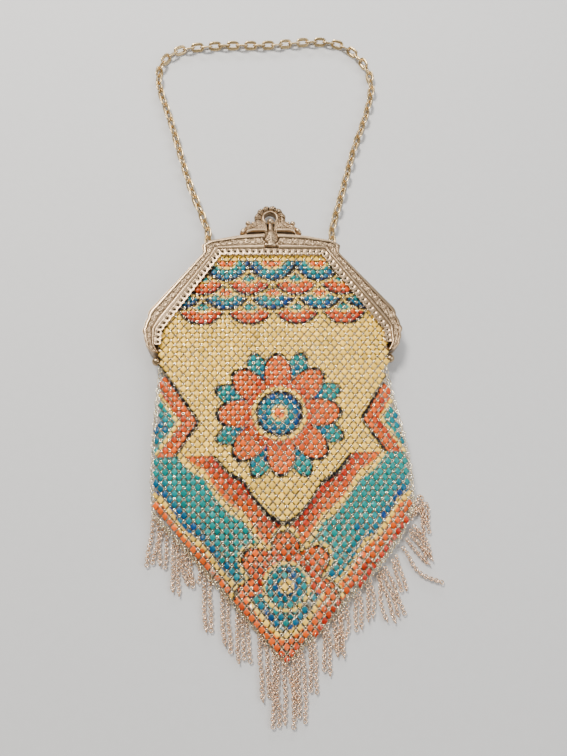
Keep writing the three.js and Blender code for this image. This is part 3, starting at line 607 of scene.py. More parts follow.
def flange(face):
    # A tile is a ring of quads between a round hole and the tile's edge, above and below, with a wall
    # in the hole. A place on it = the blend of the stretch's four corners by (along, across).
    f = frameForm
    sides = 20
    angle = (np.arange(sides) + 0.5) / sides * 2 * np.pi
    deep = f["flangeWidth"] + f["flangeLap"]
    shells = []
    for outA, outB, inA, inB, count in flangeTiles():
        length = np.linalg.norm((outB - outA + inB - inA) / 2)
        pitch = length / count
        hole = np.stack([np.cos(angle), np.sin(angle)], 1) * f["holeRadius"]
        far = np.maximum(np.abs(np.cos(angle)), np.abs(np.sin(angle)))
        square = np.stack([np.cos(angle) / far, np.sin(angle) / far], 1)
        middle = f["holeInset"] + f["flangeLap"]
        edge = np.stack([square[:, 0] * pitch / 2, np.where(
            square[:, 1] > 0, square[:, 1] * (deep - middle), square[:, 1] * middle)], 1)
        onEnd = np.isclose(np.abs(edge[:, 1] + middle - deep), 0, atol=1e-6)
        notch = 0.3 * np.cos(np.pi * edge[:, 0] / pitch) ** 2
        edge[:, 1] = np.where(onEnd, edge[:, 1] - 0.3 + notch, edge[:, 1])
        rings = [(hole, -0.1), (hole * 1.12, 0.0), (edge * 0.96, 0.0), (edge, -0.02)]
        flat = np.stack([ring for ring, _ in rings])
        lift = np.array([lift for _, lift in rings])
        index = (np.arange(count) + 0.5)[:, None, None]
        along = (index * pitch + flat[None, :, :, 0]) / length
        across = (middle + flat[None, :, :, 1]) / deep
        along, across = along[..., None], across[..., None]
        place = (1 - across) * ((1 - along) * outA + along * outB)
        place = place + across * ((1 - along) * inA + along * inB)
        top = shared["middle"] + face * (f["flangeTop"] - 0.1 + lift)
        under = shared["middle"] + face * (f["flangeTop"] - f["flangeThick"])
        tops = np.broadcast_to(top[None, :, None, None], place.shape[:3] + (1,))
        upper = np.concatenate([place, tops], 3)
        lower = np.concatenate([place[:, [3, 0]], np.full((count, 2, sides, 1), under)], 3)
        ring = np.concatenate([upper, lower], 1)
        for tile in ring:
            shells.append(skin(tile, True, relief=np.full(tile.shape[:2], 0.92)))
    return together(shells)


def sectionsAcross(outline, places, shares):
    # The outline of (y, z) at each x, drawn in about its own middle by each share.
    middle = outline.mean(0)
    return np.array([
        np.column_stack([np.full(len(outline), x), (outline - middle) * share + middle])
        for x, share in zip(places, shares)
    ])


def knuckle(side, face):
    # A plate on edge: its outline of (y, height) runs round the pin's eye and up to the arm.
    nested = 0 if face > 0 else 1.3
    low = shared["hingeX"] - 1.8 - 0.3 - nested
    angle = np.linspace(0.75 * np.pi, 1.75 * np.pi, 14)
    eye = np.stack([shared["hingeY"] + 1.6 * np.cos(angle), 1.6 * np.sin(angle)], 1)
    if face < 0:
        eye = eye * (1, -1)
    tail = shared["tail"]
    outline = np.concatenate([[(tail + 2.2, 2.2 * face), (tail, 2.2 * face)], eye, [
        (tail, 0.3 * face), (tail + 2.2, 0.3 * face)]])
    places = np.array([low - 1.0, low - 0.9, low - 0.1, low]) * side
    rings = sectionsAcross(outline, places, (0.93, 1.0, 1.0, 0.93)) + (0, 0, shared["middle"])
    arm = cornerBlock(side * (low - 0.9), side * 50.5, tail + 0.6, tail + 2.3, face)
    return together([skin(rings, relief=np.full(rings.shape[:2], 0.75)), arm])


def cornerBlock(x0, x1, y0, y1, face):
    # A small bar with round edges, between the knuckle and the frame's arm.
    quarter = [(-1, -0.8), (-0.8, -1), (0.8, -1), (1, -0.8)]
    corners = np.concatenate([quarter, -np.array(quarter)])
    heights = np.array([0.3, 2.2]) * face + shared["middle"]
    y = (y0 + y1) / 2 + corners[:, 0] * (y1 - y0) / 2
    z = heights.mean() + corners[:, 1] * (heights[1] - heights[0]) / 2
    rings = sectionsAcross(np.column_stack([y, z]), np.linspace(x0, x1, 3), (1, 1, 1))
    return skin(rings, relief=np.full(rings.shape[:2], 0.75))


def frameHalf(face):
    knuckles = [knuckle(1, face), knuckle(-1, face)]
    return together([moulding(face), flange(face), *knuckles])


def block(low, high, soft, rows=5, **layers):
    # Sections across x: a rectangle of (y, z) with its corners cut by soft, drawn in at both ends.
    low, high = np.array(low, float), np.array(high, float)
    cut = soft * (1 - np.sqrt(0.5))
    y0, z0 = low[1:]
    y1, z1 = high[1:]
    outline = np.array([
        (y0 + soft, z0), (y1 - soft, z0), (y1 - cut, z0 + cut), (y1, z0 + soft),
        (y1, z1 - soft), (y1 - cut, z1 - cut), (y1 - soft, z1), (y0 + soft, z1),
        (y0 + cut, z1 - cut), (y0, z1 - soft), (y0, z0 + soft), (y0 + cut, z0 + cut),
    ])
    length = high[0] - low[0]
    straight = np.linspace(soft, length - soft, rows)
    ends = np.concatenate([[0, soft * 0.4], straight, [length - soft * 0.4, length]])
    pull = np.ones(len(ends))
    pull[[0, -1]] = 1 - 1.4 * soft / (y1 - y0)
    pull[[1, -2]] = 1 - 0.5 * soft / (y1 - y0)
    rings = sectionsAcross(outline, low[0] + ends, pull)
    values = {name: np.full(rings.shape[:2], value) for name, value in layers.items()}
    return skin(rings, **values)


# Crest on the back half: a wreath ring between two scroll arms

crestForm = dict(
    back=3.0,
    top=7.0,
    ringOuter=7.2,
    holeRadius=2.65,
    holeY=15.4,
    lobes=12,
    lobeRise=0.35,
    tongueHalf=1.5,     # a way kept clear for the tongue's neck and ball
    neckTop=6.15,
    ballY=12.4,
    ballReach=2.1,
    ballTop=5.2,
)
# Half of the arms' outline: x, lower edge, upper edge.
armOutline = np.array([
    (0.0, 4.4, 13.4),
    (2.3, 4.4, 13.6),
    (2.7, 7.5, 13.6),
    (6.7, 7.5, 13.4),
    (8.0, 7.5, 12.2),
    (9.2, 7.3, 12.4),
    (10.4, 6.9, 12.9),
    (11.0, 6.6, 12.2),
    (11.3, 4.6, 11.4),
    (12.2, 4.2, 9.6),
    (13.2, 3.8, 8.0),
    (14.2, 3.6, 6.6),
])


def keepClear(x, y, z):
    c = crestForm
    inNeck = (np.abs(x) < c["tongueHalf"]) & (y < c["ballY"])
    z = np.where(inNeck, np.minimum(z, c["neckTop"]), z)
    nearBall = np.hypot(x, y - c["ballY"]) < c["ballReach"]
    return np.where(nearBall, np.minimum(z, c["ballTop"]), z)


def crestArms():
    # Height = the top, rolled down at the edges, + a scroll; a bright half round bar edges it below.
    c = crestForm
    reach = armOutline[-1, 0]
    x = np.linspace(-reach, reach, 260)
    low = np.interp(np.abs(x), armOutline[:, 0], armOutline[:, 1])
    high = np.interp(np.abs(x), armOutline[:, 0], armOutline[:, 2])
    holeEdge = c["holeY"] - np.sqrt(np.clip((c["holeRadius"] + 0.4) ** 2 - x ** 2, 0, None))
    high = np.where(np.abs(x) < c["holeRadius"] + 0.4, np.minimum(high, holeEdge), high)
    share = np.linspace(0, 1, 42)[None]
    y = low[:, None] + (high - low)[:, None] * share
    up = y - low[:, None]
    down = high[:, None] - y
    barTop = 0.9 * np.sqrt(np.clip(1 - ((up - 0.85) / 0.85) ** 2, 0, 1))
    scroll = scrollRelief(np.abs(x)[:, None] * 1.1 + 0.5, np.clip((up - 3.9) / 2.2, -1, 1), 5.2)
    field = -0.6 + 0.6 * scroll
    height = np.where(up < 1.7, barTop - 0.5, field)
    height = height - 0.8 * np.exp(-down / 0.4)
    edge = np.clip((reach - np.abs(x)) / 0.8, 0, 1)[:, None]
    z = c["top"] + height - 0.8 * (1 - edge)
    z = keepClear(x[:, None], y, z)
    relief = np.where(up < 1.7, 0.6 + 0.5 * barTop, 0.3 + 0.7 * scroll)
    under = y[:, ::-6]
    back = np.full(under.shape, c["back"])
    rings = np.stack([
        np.broadcast_to(x[:, None], (len(x), y.shape[1] + back.shape[1])),
        np.concatenate([y, under], 1),
        np.concatenate([z, back], 1),
    ], 2)
    return skin(rings, relief=np.concatenate([relief, np.full(back.shape, 0.4)], 1))


def crestRing():
    # Across from the hole's wall to the outer wall: a polished roll, a groove, then leaves with ribs.
    c = crestForm
    turn = np.linspace(0, 2 * np.pi, 240, endpoint=False)[:, None]
    share = np.array([0, 0, 0, 0.04, 0.1, 0.16, 0.22, 0.27, 0.31, 0.36, 0.42, 0.48, 0.54, 0.6, 0.66,
                      0.72, 0.78, 0.84, 0.9, 0.95, 1, 1, 1])[None]
    level = np.array([-3.9, -2.2, -1.2, -0.75, -0.5, -0.45, -0.65, -1.1, -1.3, -1.0, -0.7, -0.5, -0.35,
                      -0.3, -0.25, -0.25, -0.3, -0.4, -0.6, -0.95, -1.5, -2.6, -3.9])[None]
    leafy = np.clip((share - 0.33) / 0.12, 0, 1)
    phase = turn * c["lobes"] / 2 + 1.4 * share
    lobe = np.abs(np.cos(phase))
    outer = c["ringOuter"] + c["lobeRise"] * (lobe * 2 - 1)
    insideX = c["holeRadius"] * np.cos(turn)
    insideY = c["holeY"] + c["holeRadius"] * np.sin(turn)
    outsideX = outer * np.cos(turn)
    outsideY = shared["ringY"] + outer * np.sin(turn)
    x = insideX + (outsideX[:, -1:] - insideX) * share
    y = insideY + (outsideY[:, -1:] - insideY) * share
    ribs = 0.24 * np.cos(6 * phase) * lobe
    cut = -0.8 * np.exp(-(lobe / 0.22) ** 2)
    z = c["top"] + level + leafy * (ribs + cut) * (share < 0.97)
    z = np.maximum(keepClear(x, y, z), c["back"])
    z[:, 0] = c["back"]
    z[:, -1] = c["back"]
    relief = np.where(share < 0.26, 0.7, 0.6 + 1.4 * ribs + cut)
    relief = np.where((share > 0.26) & (share < 0.34), 0.25, relief)
    return skin(np.stack([x, y, z], 2), True, relief=relief + 0 * x)


def chainEyes():
    ring = ovalRing(4.5, 4.5, 0.55, 30, 12, relief=0.8)
    centres = np.array([(-29, 2.47, 2.3), (29, 2.47, 2.3)], float)
    axes = np.eye(3)[[1, 2, 0]]
    return copies(ring, centres, *[np.tile(axis, (2, 1)) for axis in axes])


def crest():
    c = crestForm
    shells = [crestArms(), crestRing(), chainEyes()]
    shells.append(block((-4.5, -2.6, 0.0), (4.5, 3.8, 1.0), 0.35, relief=0.8))
    for side in (-1, 1):
        shells.append(ball((side * 10.4, 12.2, c["top"] - 0.9), 1.25, relief=0.9))
        shells.append(ball((side * 8.0, 12.3, c["top"] - 0.9), 0.95, relief=0.9))
        leafTip = wire([(side * 11.6, 9.6, 6.6), (side * 12.4, 8.2, 6.9), (side * 13.3, 7.1, 6.7),
                        (side * 14.0, 6.3, 6.2)], np.array([0.5, 1.05, 0.95, 0.45]), 14, relief=0.95)
        shells.append(leafTip)
    return together(shells)


# Hinge rivets, and the lugs and pin of the clasp

def hingeRivets():
    profile = [(-1.6, 0.5), (-1.45, 1.0), (-1.1, 1.0), (-0.9, 0.8), (2.6, 0.8), (2.9, 1.1)]
    turnBall = np.linspace(np.arcsin(0.62), np.pi - 0.12, 12)
    profile += [(4.4 - 1.9 * np.cos(angle), 1.9 * np.sin(angle)) for angle in turnBall]
    shells = []
    for side in (-1, 1):
        centre = (side * (shared["hingeX"] - 3.6), shared["hingeY"], shared["middle"])
        shells.append(turned(profile, 24, centre, (side, 0, 0), relief=0.85))
    return together(shells)


claspForm = dict(
    axisY=-1.2,
    axisZ=9.8,
    lugInner=2.12,
    lugOuter=2.98,
    lugRadius=1.05,
    lugBase=7.8,
    pinRadius=0.4,
    pinHalf=3.25,
    barrel=1.1,
    barrelHalf=1.8,
    reach=13.6,
    width=6.8,
    thickness=1.1,
    face=9.5,
    ballZ=7.15,
    ballRadius=1.6,
)


def claspLugs():
    c = claspForm
    angle = np.linspace(-0.15 * np.pi, 1.15 * np.pi, 16)
    eye = np.stack([c["axisY"] + c["lugRadius"] * np.cos(angle),
                    c["axisZ"] + c["lugRadius"] * np.sin(angle)], 1)
    outline = np.concatenate([eye, [(c["axisY"] - 1.3, c["lugBase"]), (c["axisY"] + 1.3, c["lugBase"])]])
    places = c["lugInner"] + np.array([0, 0.1, 0.9, 1]) * (c["lugOuter"] - c["lugInner"])
    shells = []
    for side in (-1, 1):
        rings = sectionsAcross(outline, side * places, (0.9, 1, 1, 0.9))
        shells.append(skin(rings, relief=np.full(rings.shape[:2], 0.85)))
    half, radius = c["pinHalf"], c["pinRadius"]
    pin = [(-half, radius - 0.1), (-half + 0.12, radius), (half - 0.12, radius), (half, radius - 0.1)]
    shells.append(turned(pin, 16, (0, c["axisY"], c["axisZ"]), (1, 0, 0), relief=0.9))
    return together(shells)


# Shares along the tongue from its axis, of its width, and of its drop from the face to the ball.
tongueStations = np.array([
    (0.06, 0.44, 1.00),
    (0.12, 0.54, 1.00),
    (0.22, 1.00, 1.00),
    (0.36, 0.60, 1.00),
    (0.51, 0.42, 0.96),
    (0.67, 0.32, 0.10),
    (0.95, 0.29, 0.00),
])


def claspTongue():
    # Along the tongue: an even bow of its width and level; across it a rib, veins and a rolled edge.
    c = claspForm
    along = np.linspace(0.06, 0.95, 90)
    wide = np.interp(along, tongueStations[:, 0], tongueStations[:, 1])
    level = np.interp(along, tongueStations[:, 0], tongueStations[:, 2])
    soften = np.hanning(11)[1:-1] / np.hanning(11).sum()
    wide = np.convolve(np.pad(wide, 4, "edge"), soften, "valid")
    level = np.convolve(np.pad(level, 4, "edge"), soften, "valid")
    leaf = np.clip(1 - np.abs(along - 0.24) / 0.24, 0, 1)
    wide = wide * (1 + 0.05 * np.sin(along * 70) * (leaf > 0))
    across = np.linspace(-1, 1, 25)[None]
    half = wide[:, None] * c["width"] / 2
    x = across * half
    top = c["ballZ"] + 0.5 + (c["face"] - c["ballZ"] - 0.5) * level[:, None]
    roll = -0.45 * np.abs(across) ** 6
    veins = 0.12 * np.cos(8 * np.abs(across) + along[:, None] * 70) * leaf[:, None]
    rib = 0.2 * np.exp(-(across / 0.12) ** 2)
    dome = 0.2 * (1 - across ** 2)
    z = top + roll + veins + rib + dome
    y = c["axisY"] + along[:, None] * c["reach"] + 0 * across
    below = top - c["thickness"] + 0 * across
    relief = 0.5 + 3.0 * veins + 1.5 * rib
    rings = np.stack([
        np.concatenate([x, x[:, ::-1]], 1),
        np.concatenate([y, y], 1),
        np.concatenate([z, below], 1),
    ], 2)
    body = skin(rings, relief=np.concatenate([relief, np.full(relief.shape, 0.5)], 1))
    end = c["axisY"] + c["reach"]
    knob = ball((0, end, c["ballZ"]), c["ballRadius"], 18, 26, relief=0.8)
    half = c["barrelHalf"]
    profile = [(-half, 0.9), (-half + 0.15, c["barrel"]), (half - 0.15, c["barrel"]), (half, 0.9)]
    barrel = turned(profile, 24, (0, c["axisY"], c["axisZ"]), (1, 0, 0), relief=0.8)
    return together([body, knob, barrel])


front = together([frameHalf(1), claspLugs()])
putPiece("castFrameFront", front, castSilver, replaces=("frame_front", "clasp_pin"))
back = together([frameHalf(-1), crest()])
putPiece("castFrameBack", back, castSilver, replaces=("frame_back",))
putPiece("hingeRivets", hingeRivets(), polishedSilver, replaces=("hinge_left", "hinge_right"))
putPiece("catchTongue", claspTongue(), castSilver, "clasp", ("clasp_tongue",))
print("frame and clasp built")


# Pouch: two panels of enamelled plates held by small rings

# y, left edge, right edge, back, front
pouchRows = np.array([
    (-4.4, -23.4, 23.4, 1.7, 8.3),
    (-41.2, -50.1, 50.1, 1.7, 8.3),
    (-49.7, -50.0, 50.0, 1.7, 8.3),
    (-52.6, -49.3, 49.3, 1.7, 8.3),
    (-57.6, -49.7, 49.4, 1.3, 8.2),
    (-59.2, -49.0, 48.2, 0.7, 8.0),
    (-71.3, -50.2, 50.3, 0.0, 8.1),
    (-88.3, -51.2, 53.5, 0.0, 8.0),
    (-104.5, -51.4, 55.4, 0.0, 7.4),
    (-118.3, -50.6, 55.1, 0.0, 6.5),
    (-130.6, -39.2, 48.2, 0.0, 5.8),
    (-140.9, -30.0, 39.1, 0.0, 5.2),
    (-152.7, -19.4, 26.2, 0.0, 4.4),
    (-164.0, -9.0, 13.9, 0.0, 3.4),
    (-173.4, -0.3, 1.8, 0.3, 2.3),
])
plateForm = dict(
    pitchX=3.7,
    pitchY=2.15,
    tip=1.5,
    tipHalf=0.32,
    waist=0.75,
    tall=1.16,
    inset=0.5,       # of the plates' plane below the pouch's outer face
    margin=1.15,
    ringWidth=1.5,
    ringWire=0.22,
    ringRise=0.27,    # of the rings above the plates' plane
)


def pouchEdge(y, column):
    return np.interp(-y, -pouchRows[:, 0], pouchRows[:, column])


def panelHeight(x, y, face):
    # Level over the middle half of the width; below the frame it rounds over towards the side edges.
    left, right = pouchEdge(y, 1), pouchEdge(y, 2)
    back, high = pouchEdge(y, 3), pouchEdge(y, 4)
    share = np.abs(2 * x - left - right) / np.maximum(right - left, 2)
    round_ = np.interp(share, [0, 0.5, 0.75, 0.91, 1.0, 1.05], [1, 1, 0.93, 0.78, 0.36, 0.3])
    below = np.clip((-58 - y) / 10, 0, 1)
    factor = 1 + (round_ - 1) * below
    middle = (back + high) / 2
    half = (high - back) / 2 - plateForm["inset"]
    return middle + face * np.maximum(half, 0.45) * factor


palette = dict(
    cream=rgb(255, 207, 78),
    orange=rgb(226, 92, 0),
    teal=rgb(0, 128, 124),
    blue=rgb(0, 52, 112),
    black=rgb(14, 8, 8),
    rust=rgb(168, 34, 4),
)


def paint(colour, mask, name):
    return np.where(mask[:, None], palette[name], colour)


def fade(colour, mask, first, second, share):
    # From the first colour to the second as share goes from 0 to 1.
    share = np.clip(share, 0, 1)[:, None]
    return np.where(mask[:, None], palette[first] * (1 - share) + palette[second] * share, colour)


def fishScales(colour, x, y, grain):
    # Rows of hanging half rounds, the upper rows over the lower: rings of colour by distance, and the
    # main colour darkens towards the hanging edge.
    halfPitch = 10.4
    for row in (3, 2, 1, 0):
        centreY = -6.5 - 7.0 * row
        offset = halfPitch * (row % 2)
        away = (x - offset + halfPitch) % (2 * halfPitch) - halfPitch
        reach = np.hypot(away, (y - centreY) * 0.95)
        hanging = (y < centreY + 1) & (reach < 12.4) & (np.abs(x - away) < 44)
        main, deep, inner = ("orange", "rust", "teal") if row % 2 else ("teal", "blue", "orange")
        colour = paint(colour, hanging, "cream")
        colour = paint(colour, hanging & (reach < 11.6), "black")
        colour = fade(colour, hanging & (reach < 10.2), main, deep, (reach - 6.5) / 4 + grain)
        colour = paint(colour, hanging & (reach < 5.8), "cream")
        colour = paint(colour, hanging & (reach < 4.8), inner)
        colour = paint(colour, hanging & (reach < 2.2), "black")
    return colour


def rosette(colour, x, y, grain):
    # Petals: the reach swells with the cosine of four turns. Leaves fill the gaps behind them.
    dx, dy = x - 1.0, y + 79
    reach = np.hypot(dx, dy)
    turn = np.arctan2(dy, dx)
    petal = 13 + 12 * np.abs(np.cos(4 * turn)) ** 0.8
    leaf = 14 + 13.5 * np.abs(np.sin(4 * turn)) ** 1.6
    colour = paint(colour, reach < leaf + 1.5, "black")
    colour = fade(colour, reach < leaf, "blue", "teal", (reach - 15) / 9 + grain)
    colour = paint(colour, reach < petal + 1.8, "black")
    colour = fade(colour, reach < petal, "rust", "orange", (reach - 9) / 9 + grain)
    colour = paint(colour, reach < 11.4, "cream")
    colour = paint(colour, reach < 10.0, "black")
    colour = fade(colour, reach < 8.6, "teal", "blue", (reach - 3) / 6 + grain)
    colour = paint(colour, reach < 3.4, "cream")
    return paint(colour, reach < 2.2, "orange")


def sideLozenges(colour, x, y, grain):
    # Nested half lozenges at both edges: reach = the sum of the two distances, each over its half length.
    reach = np.abs(np.abs(x - 1.5) - 52) / 18 + np.abs(y + 82) / 27
    colour = paint(colour, reach < 1.06, "black")
    colour = fade(colour, reach < 0.95, "orange", "rust", (0.9 - reach) * 3 + grain)
    colour = paint(colour, reach < 0.6, "cream")
    return fade(colour, reach < 0.5, "blue", "teal", reach * 2.4 + grain)


def chevrons(colour, x, y, grain):
    # Bands by the distance in from the two slanted lower edges, with a shallow wave. Distance = the way
    # from the edge's upper corner, along the edge's normal.
    cornerY, cornerLeft, cornerRight = pouchRows[9, :3]
    leftEdge = (x - cornerLeft) * 0.739 + (y - cornerY) * 0.674
    rightEdge = (cornerRight - x) * 0.72 + (y - cornerY) * 0.694
    inset = np.minimum(leftEdge, rightEdge) + 2.0 * np.abs(np.sin(np.abs(x - 1.2) * 0.2))
    low = y < -96
    colour = paint(colour, (inset < 35.5) & low, "black")
    colour = fade(colour, (inset < 33.8) & low, "orange", "rust", (inset - 27) / 6 + grain)
    colour = paint(colour, (inset < 26.5) & low, "cream")
    colour = fade(colour, (inset < 24.0) & low, "teal", "blue", (13 - inset) / 7 + grain)
    colour = paint(colour, (inset < 7.6) & low, "cream")
    return fade(colour, (inset < 5.6) & low, "orange", "rust", (3 - inset) / 3 + grain)


def palmette(colour, x, y, grain):
    # A fan of seven rays above the tip: the reach swells with the cosine of the ray's turn.
    dx, dy = x - 1.6, y + 147
    reach = np.hypot(dx, dy)
    turn = np.arctan2(dx, dy)
    ray = 13 + 7 * np.abs(np.cos(3.5 * turn))
    upward = np.abs(turn) < 1.8
    colour = paint(colour, (reach < ray + 2.6) & upward, "cream")
    colour = paint(colour, (reach < ray + 1.3) & upward, "black")
    colour = fade(colour, (reach < ray) & upward, "rust", "orange", (reach - 9) / 8 + grain)
    colour = paint(colour, reach < 9.4, "cream")
    colour = fade(colour, reach < 8.2, "teal", "blue", (8 - reach) / 6 + grain)
    return paint(colour, reach < 2.8, "cream")


def enamelColour(x, y, grain):
    # Painted from the ground up on the pouch's flat plan, so that a shape's edge may cross a plate.
    colour = np.tile(palette["cream"], (len(x), 1))
    for layer in (sideLozenges, chevrons, palmette, rosette, fishScales):
        colour = layer(colour, x, y, grain)
    return paint(colour, y > -8.2, "cream")


def plateShape():
    # A four-pointed star with hollow sides: its outline below, at the rim, and drawn in on top.
    p = plateForm
    quarter = np.array([(p["tip"], -p["tipHalf"]), (p["tip"], p["tipHalf"]), (p["waist"], p["waist"])])
    outline = []
    for turn in range(4):
        angle = turn * np.pi / 2
        spin = np.array([(np.cos(angle), np.sin(angle)), (-np.sin(angle), np.cos(angle))])
        outline.append(quarter @ spin)
    outline = np.concatenate(outline) * (1, p["tall"])
    rings = [np.column_stack([outline * share, np.full(12, z)])
             for share, z in ((0.94, -0.06), (1.0, 0.1), (0.66, 0.36))]
    # Worn bare at the four tips' corners, less between them, hardly at all on top.
    rim = np.array([[0.9], [0.84], [0.1]]) - np.array([[0.5], [0.46], [0.08]]) * ([0, 0, 1] * 4)
    return skin(np.array(rings), bare=rim)


def lattice(face):
    # Rows of places; every other row is half a pitch along. Only places inside the pouch's edges stay.
    p = plateForm
    rows = np.arange(int((pouchRows[0, 0] - pouchRows[-1, 0]) / p["pitchY"]) + 1)
    columns = np.arange(-16, 17)
    row, column = np.meshgrid(rows, columns, indexing="ij")
    y = pouchRows[0, 0] - 0.9 - row * p["pitchY"]
    x = (column + 0.5 * (row % 2)) * p["pitchX"] + 1.0 * np.clip((-60 - y) / 60, 0, 1)
    x, y = x.ravel(), y.ravel()
    inside = (x > pouchEdge(y, 1) + p["margin"]) & (x < pouchEdge(y, 2) - p["margin"])
    x, y = x[inside], y[inside]
    return x, y, panelHeight(x, y, face)


def surfaceAxes(x, y, face, tilt):
    # Slopes by small steps; up is their normal plus a little seeded lean for each plate.
    small = 0.6
    slopeX = (panelHeight(x + small, y, face) - panelHeight(x - small, y, face)) / (2 * small)
    slopeY = (panelHeight(x, y + small, face) - panelHeight(x, y - small, face)) / (2 * small)
    up = np.stack([-slopeX, -slopeY, np.ones(len(x))], 1) * face
    up = unit(up + rng.normal(0, 1, (len(x), 3)) * tilt[:, None])
    along = unit(np.array([0.0, 1.0, 0.0]) - up * up[:, 1:2])
    return np.cross(along, up), along, up


def platePanel(face):
    x, y, z = lattice(face)
    worn = np.clip((-104 - y) / 30, 0, 1)
    lean = (0.07 + 0.1 * worn) * (1.0 if face > 0 else 0.3)
    across, along, up = surfaceAxes(x, y, face, lean)
    shell = copies(plateShape(), np.stack([x, y, z], 1), across, along, up)
    each = len(shell["points"]) // len(x)
    chipped = rng.normal(0, 0.09, len(x)) + 0.26 * worn
    shell["layers"]["bare"] = shell["layers"]["bare"] + np.repeat(chipped, each)[:, None]
    grain = np.repeat(rng.normal(0, 0.22, len(x)), each)
    tone = np.repeat(rng.normal(1.0, 0.1, len(x)), each)[:, None]
    shell["layers"]["enamel"] = enamelColour(*shell["points"][:, :2].T, grain) * np.clip(tone, 0.6, 1.25)
    return shell


def ringPanel(face):
    # One small ring stands in each gap between four plates, a little above their plane.
    p = plateForm
    x, y, z = lattice(face)
    x = x + p["pitchX"] / 2
    keep = x < pouchEdge(y, 2) - p["margin"]
    x, y = x[keep], y[keep]
    # At the back the weight of the pouch presses them level with the plates.
    free = 1.0 if face > 0 else 0.2
    z = panelHeight(x, y, face) + face * p["ringRise"] * free
    across, along, up = surfaceAxes(x, y, face, np.full(len(x), 0.16 * free))
    ring = ovalRing(p["ringWidth"], p["ringWidth"], p["ringWire"], 8, 4)
    return copies(ring, np.stack([x, y, z], 1), along, across, -up)


def edgeRings(face):
    # Rings in a row down each side edge and along both slanted edges, each crossing the last.
    shells = []
    for column in (1, 2):
        side = pouchRows[5:, [0, column]][:, ::-1]
        line = evenLine(side, 2.3)
        inward = np.sign(1.2 - line[:, 0]) * 0.4
        x, y = line[:, 0] + inward, line[:, 1]
        z = panelHeight(x, y, face)
        across, along, up = surfaceAxes(x, y, face, np.full(len(x), 0.1))
        turn = (np.arange(len(x)) % 2 * 1.1 - 0.55)[:, None]
        leaned = across * np.cos(turn) + up * np.sin(turn)
        ring = ovalRing(2.5, 1.9, 0.2, 12, 5)
        shells.append(copies(ring, np.stack([x, y, z], 1), along, leaned, np.cross(along, leaned)))
    return together(shells)


def hangingRings(face):
    # From each hole in the flange a ring reaches down to the first row of plates.
    p = frameForm
    deep = p["flangeWidth"] + p["flangeLap"]
    reach = 0.95      # from a hole's middle to its ring's
    centres, aims = [], []
    for outA, outB, inA, inB, count in flangeTiles():
        index = (np.arange(count) + 0.5)[:, None] / count
        share = (p["holeInset"] + p["flangeLap"] + reach) / deep
        centres.append((1 - share) * (outA + index * (outB - outA)) + share * (inA + index * (inB - inA)))
        run = unit((outB - outA)[None])[0]
        aims.append(np.tile([run[1], -run[0]], (count, 1)))
    centres, aims = np.concatenate(centres), np.concatenate(aims)
    height = shared["middle"] + face * (p["flangeTop"] - 0.55)
    places = np.column_stack([centres, np.full(len(centres), height)])
    across = np.column_stack([aims, np.zeros(len(aims))])
    upright = np.tile([0.0, 0.0, 1.0], (len(aims), 1))
    upright = unit(upright + rng.normal(0, 0.12, upright.shape))
    ring = ovalRing(2.1, 1.0, 0.15, 12, 5)
    return copies(ring, places, across, upright, np.cross(across, upright))


for name, face in (("Front", 1), ("Back", -1)):
    replaced = ("mesh_body",) if face > 0 else ()
    putPiece("plates" + name, platePanel(face), platedEnamel, "purse", replaced)
    linking = together([ringPanel(face), edgeRings(face), hangingRings(face)])
    putPiece("linkingRings" + name, linking, ringSilver, "purse")
print("pouch built")


# Fringe: strands of small rings that hang from the slanted edges

# root x, y; knee x, y; tip x, y; strands
leftTufts = np.array([
    (-49.5, -119.5, -50.0, -126.1, -51.5, -137.3, 2),
    (-45.8, -123.5, -45.9, -128.3, -46.6, -139.0, 2),
    (-41.5, -128.0, -41.4, -135.4, -41.0, -149.2, 2),
    (-37.5, -131.5, -37.5, -137.0, -35.5, -147.0, 2),
    (-34.3, -134.7, -33.9, -139.0, -33.4, -144.5, 2),
    (-28.8, -141.0, -29.2, -150.0, -28.4, -162.0, 2),
    (-22.1, -148.6, -22.0, -156.0, -21.2, -169.5, 2),
    (-15.4, -155.6, -15.4, -164.0, -14.9, -174.4, 3),
    (-8.6, -163.5, -7.9, -172.0, -7.2, -187.0, 2),
    (-2.4, -171.6, -2.4, -182.0, -2.6, -196.2, 3),
    (0.7, -173.7, 1.6, -180.0, 4.4, -187.3, 1),
])
rightTufts = np.array([
    (5.2, -171.3, 5.4, -182.0, 4.9, -195.8, 3),
    (11.0, -167.0, 11.0, -176.0, 10.6, -187.0, 2),
    (16.2, -163.0, 16.2, -170.0, 15.9, -179.5, 2),
    (20.8, -159.0, 21.4, -166.0, 21.7, -174.0, 2),
    (24.4, -156.0, 23.6, -163.0, 20.4, -170.6, 2),
    (29.5, -151.5, 29.8, -157.0, 29.2, -165.0, 2),
    (34.4, -147.5, 34.4, -153.0, 34.2, -161.0, 2),
    (40.2, -143.5, 42.6, -150.5, 46.0, -161.5, 3),
    (39.5, -144.0, 38.4, -153.0, 40.4, -161.0, 1),
    (45.6, -138.5, 47.0, -145.3, 48.6, -152.0, 2),
    (49.6, -134.5, 56.5, -145.0, 64.0, -148.0, 1),
    (52.4, -130.5, 58.6, -138.0, 61.4, -141.5, 2),
    (54.2, -127.0, 58.5, -131.5, 59.6, -138.0, 2),
    (54.9, -122.0, 59.5, -118.0, 60.0, -129.0, 2),
    (55.0, -120.5, 58.6, -113.8, 59.8, -125.0, 1),
])
fringeForm = dict(
    ringLength=2.05,
    ringWidth=1.9,
    wire=0.24,
    pitch=1.14,
    level=1.06,
    ragged=0.16,
    hemGap=2.3,       # between two strands' roots, along the hem
    gap=2.2,          # between two strands of a tuft, lower down
)


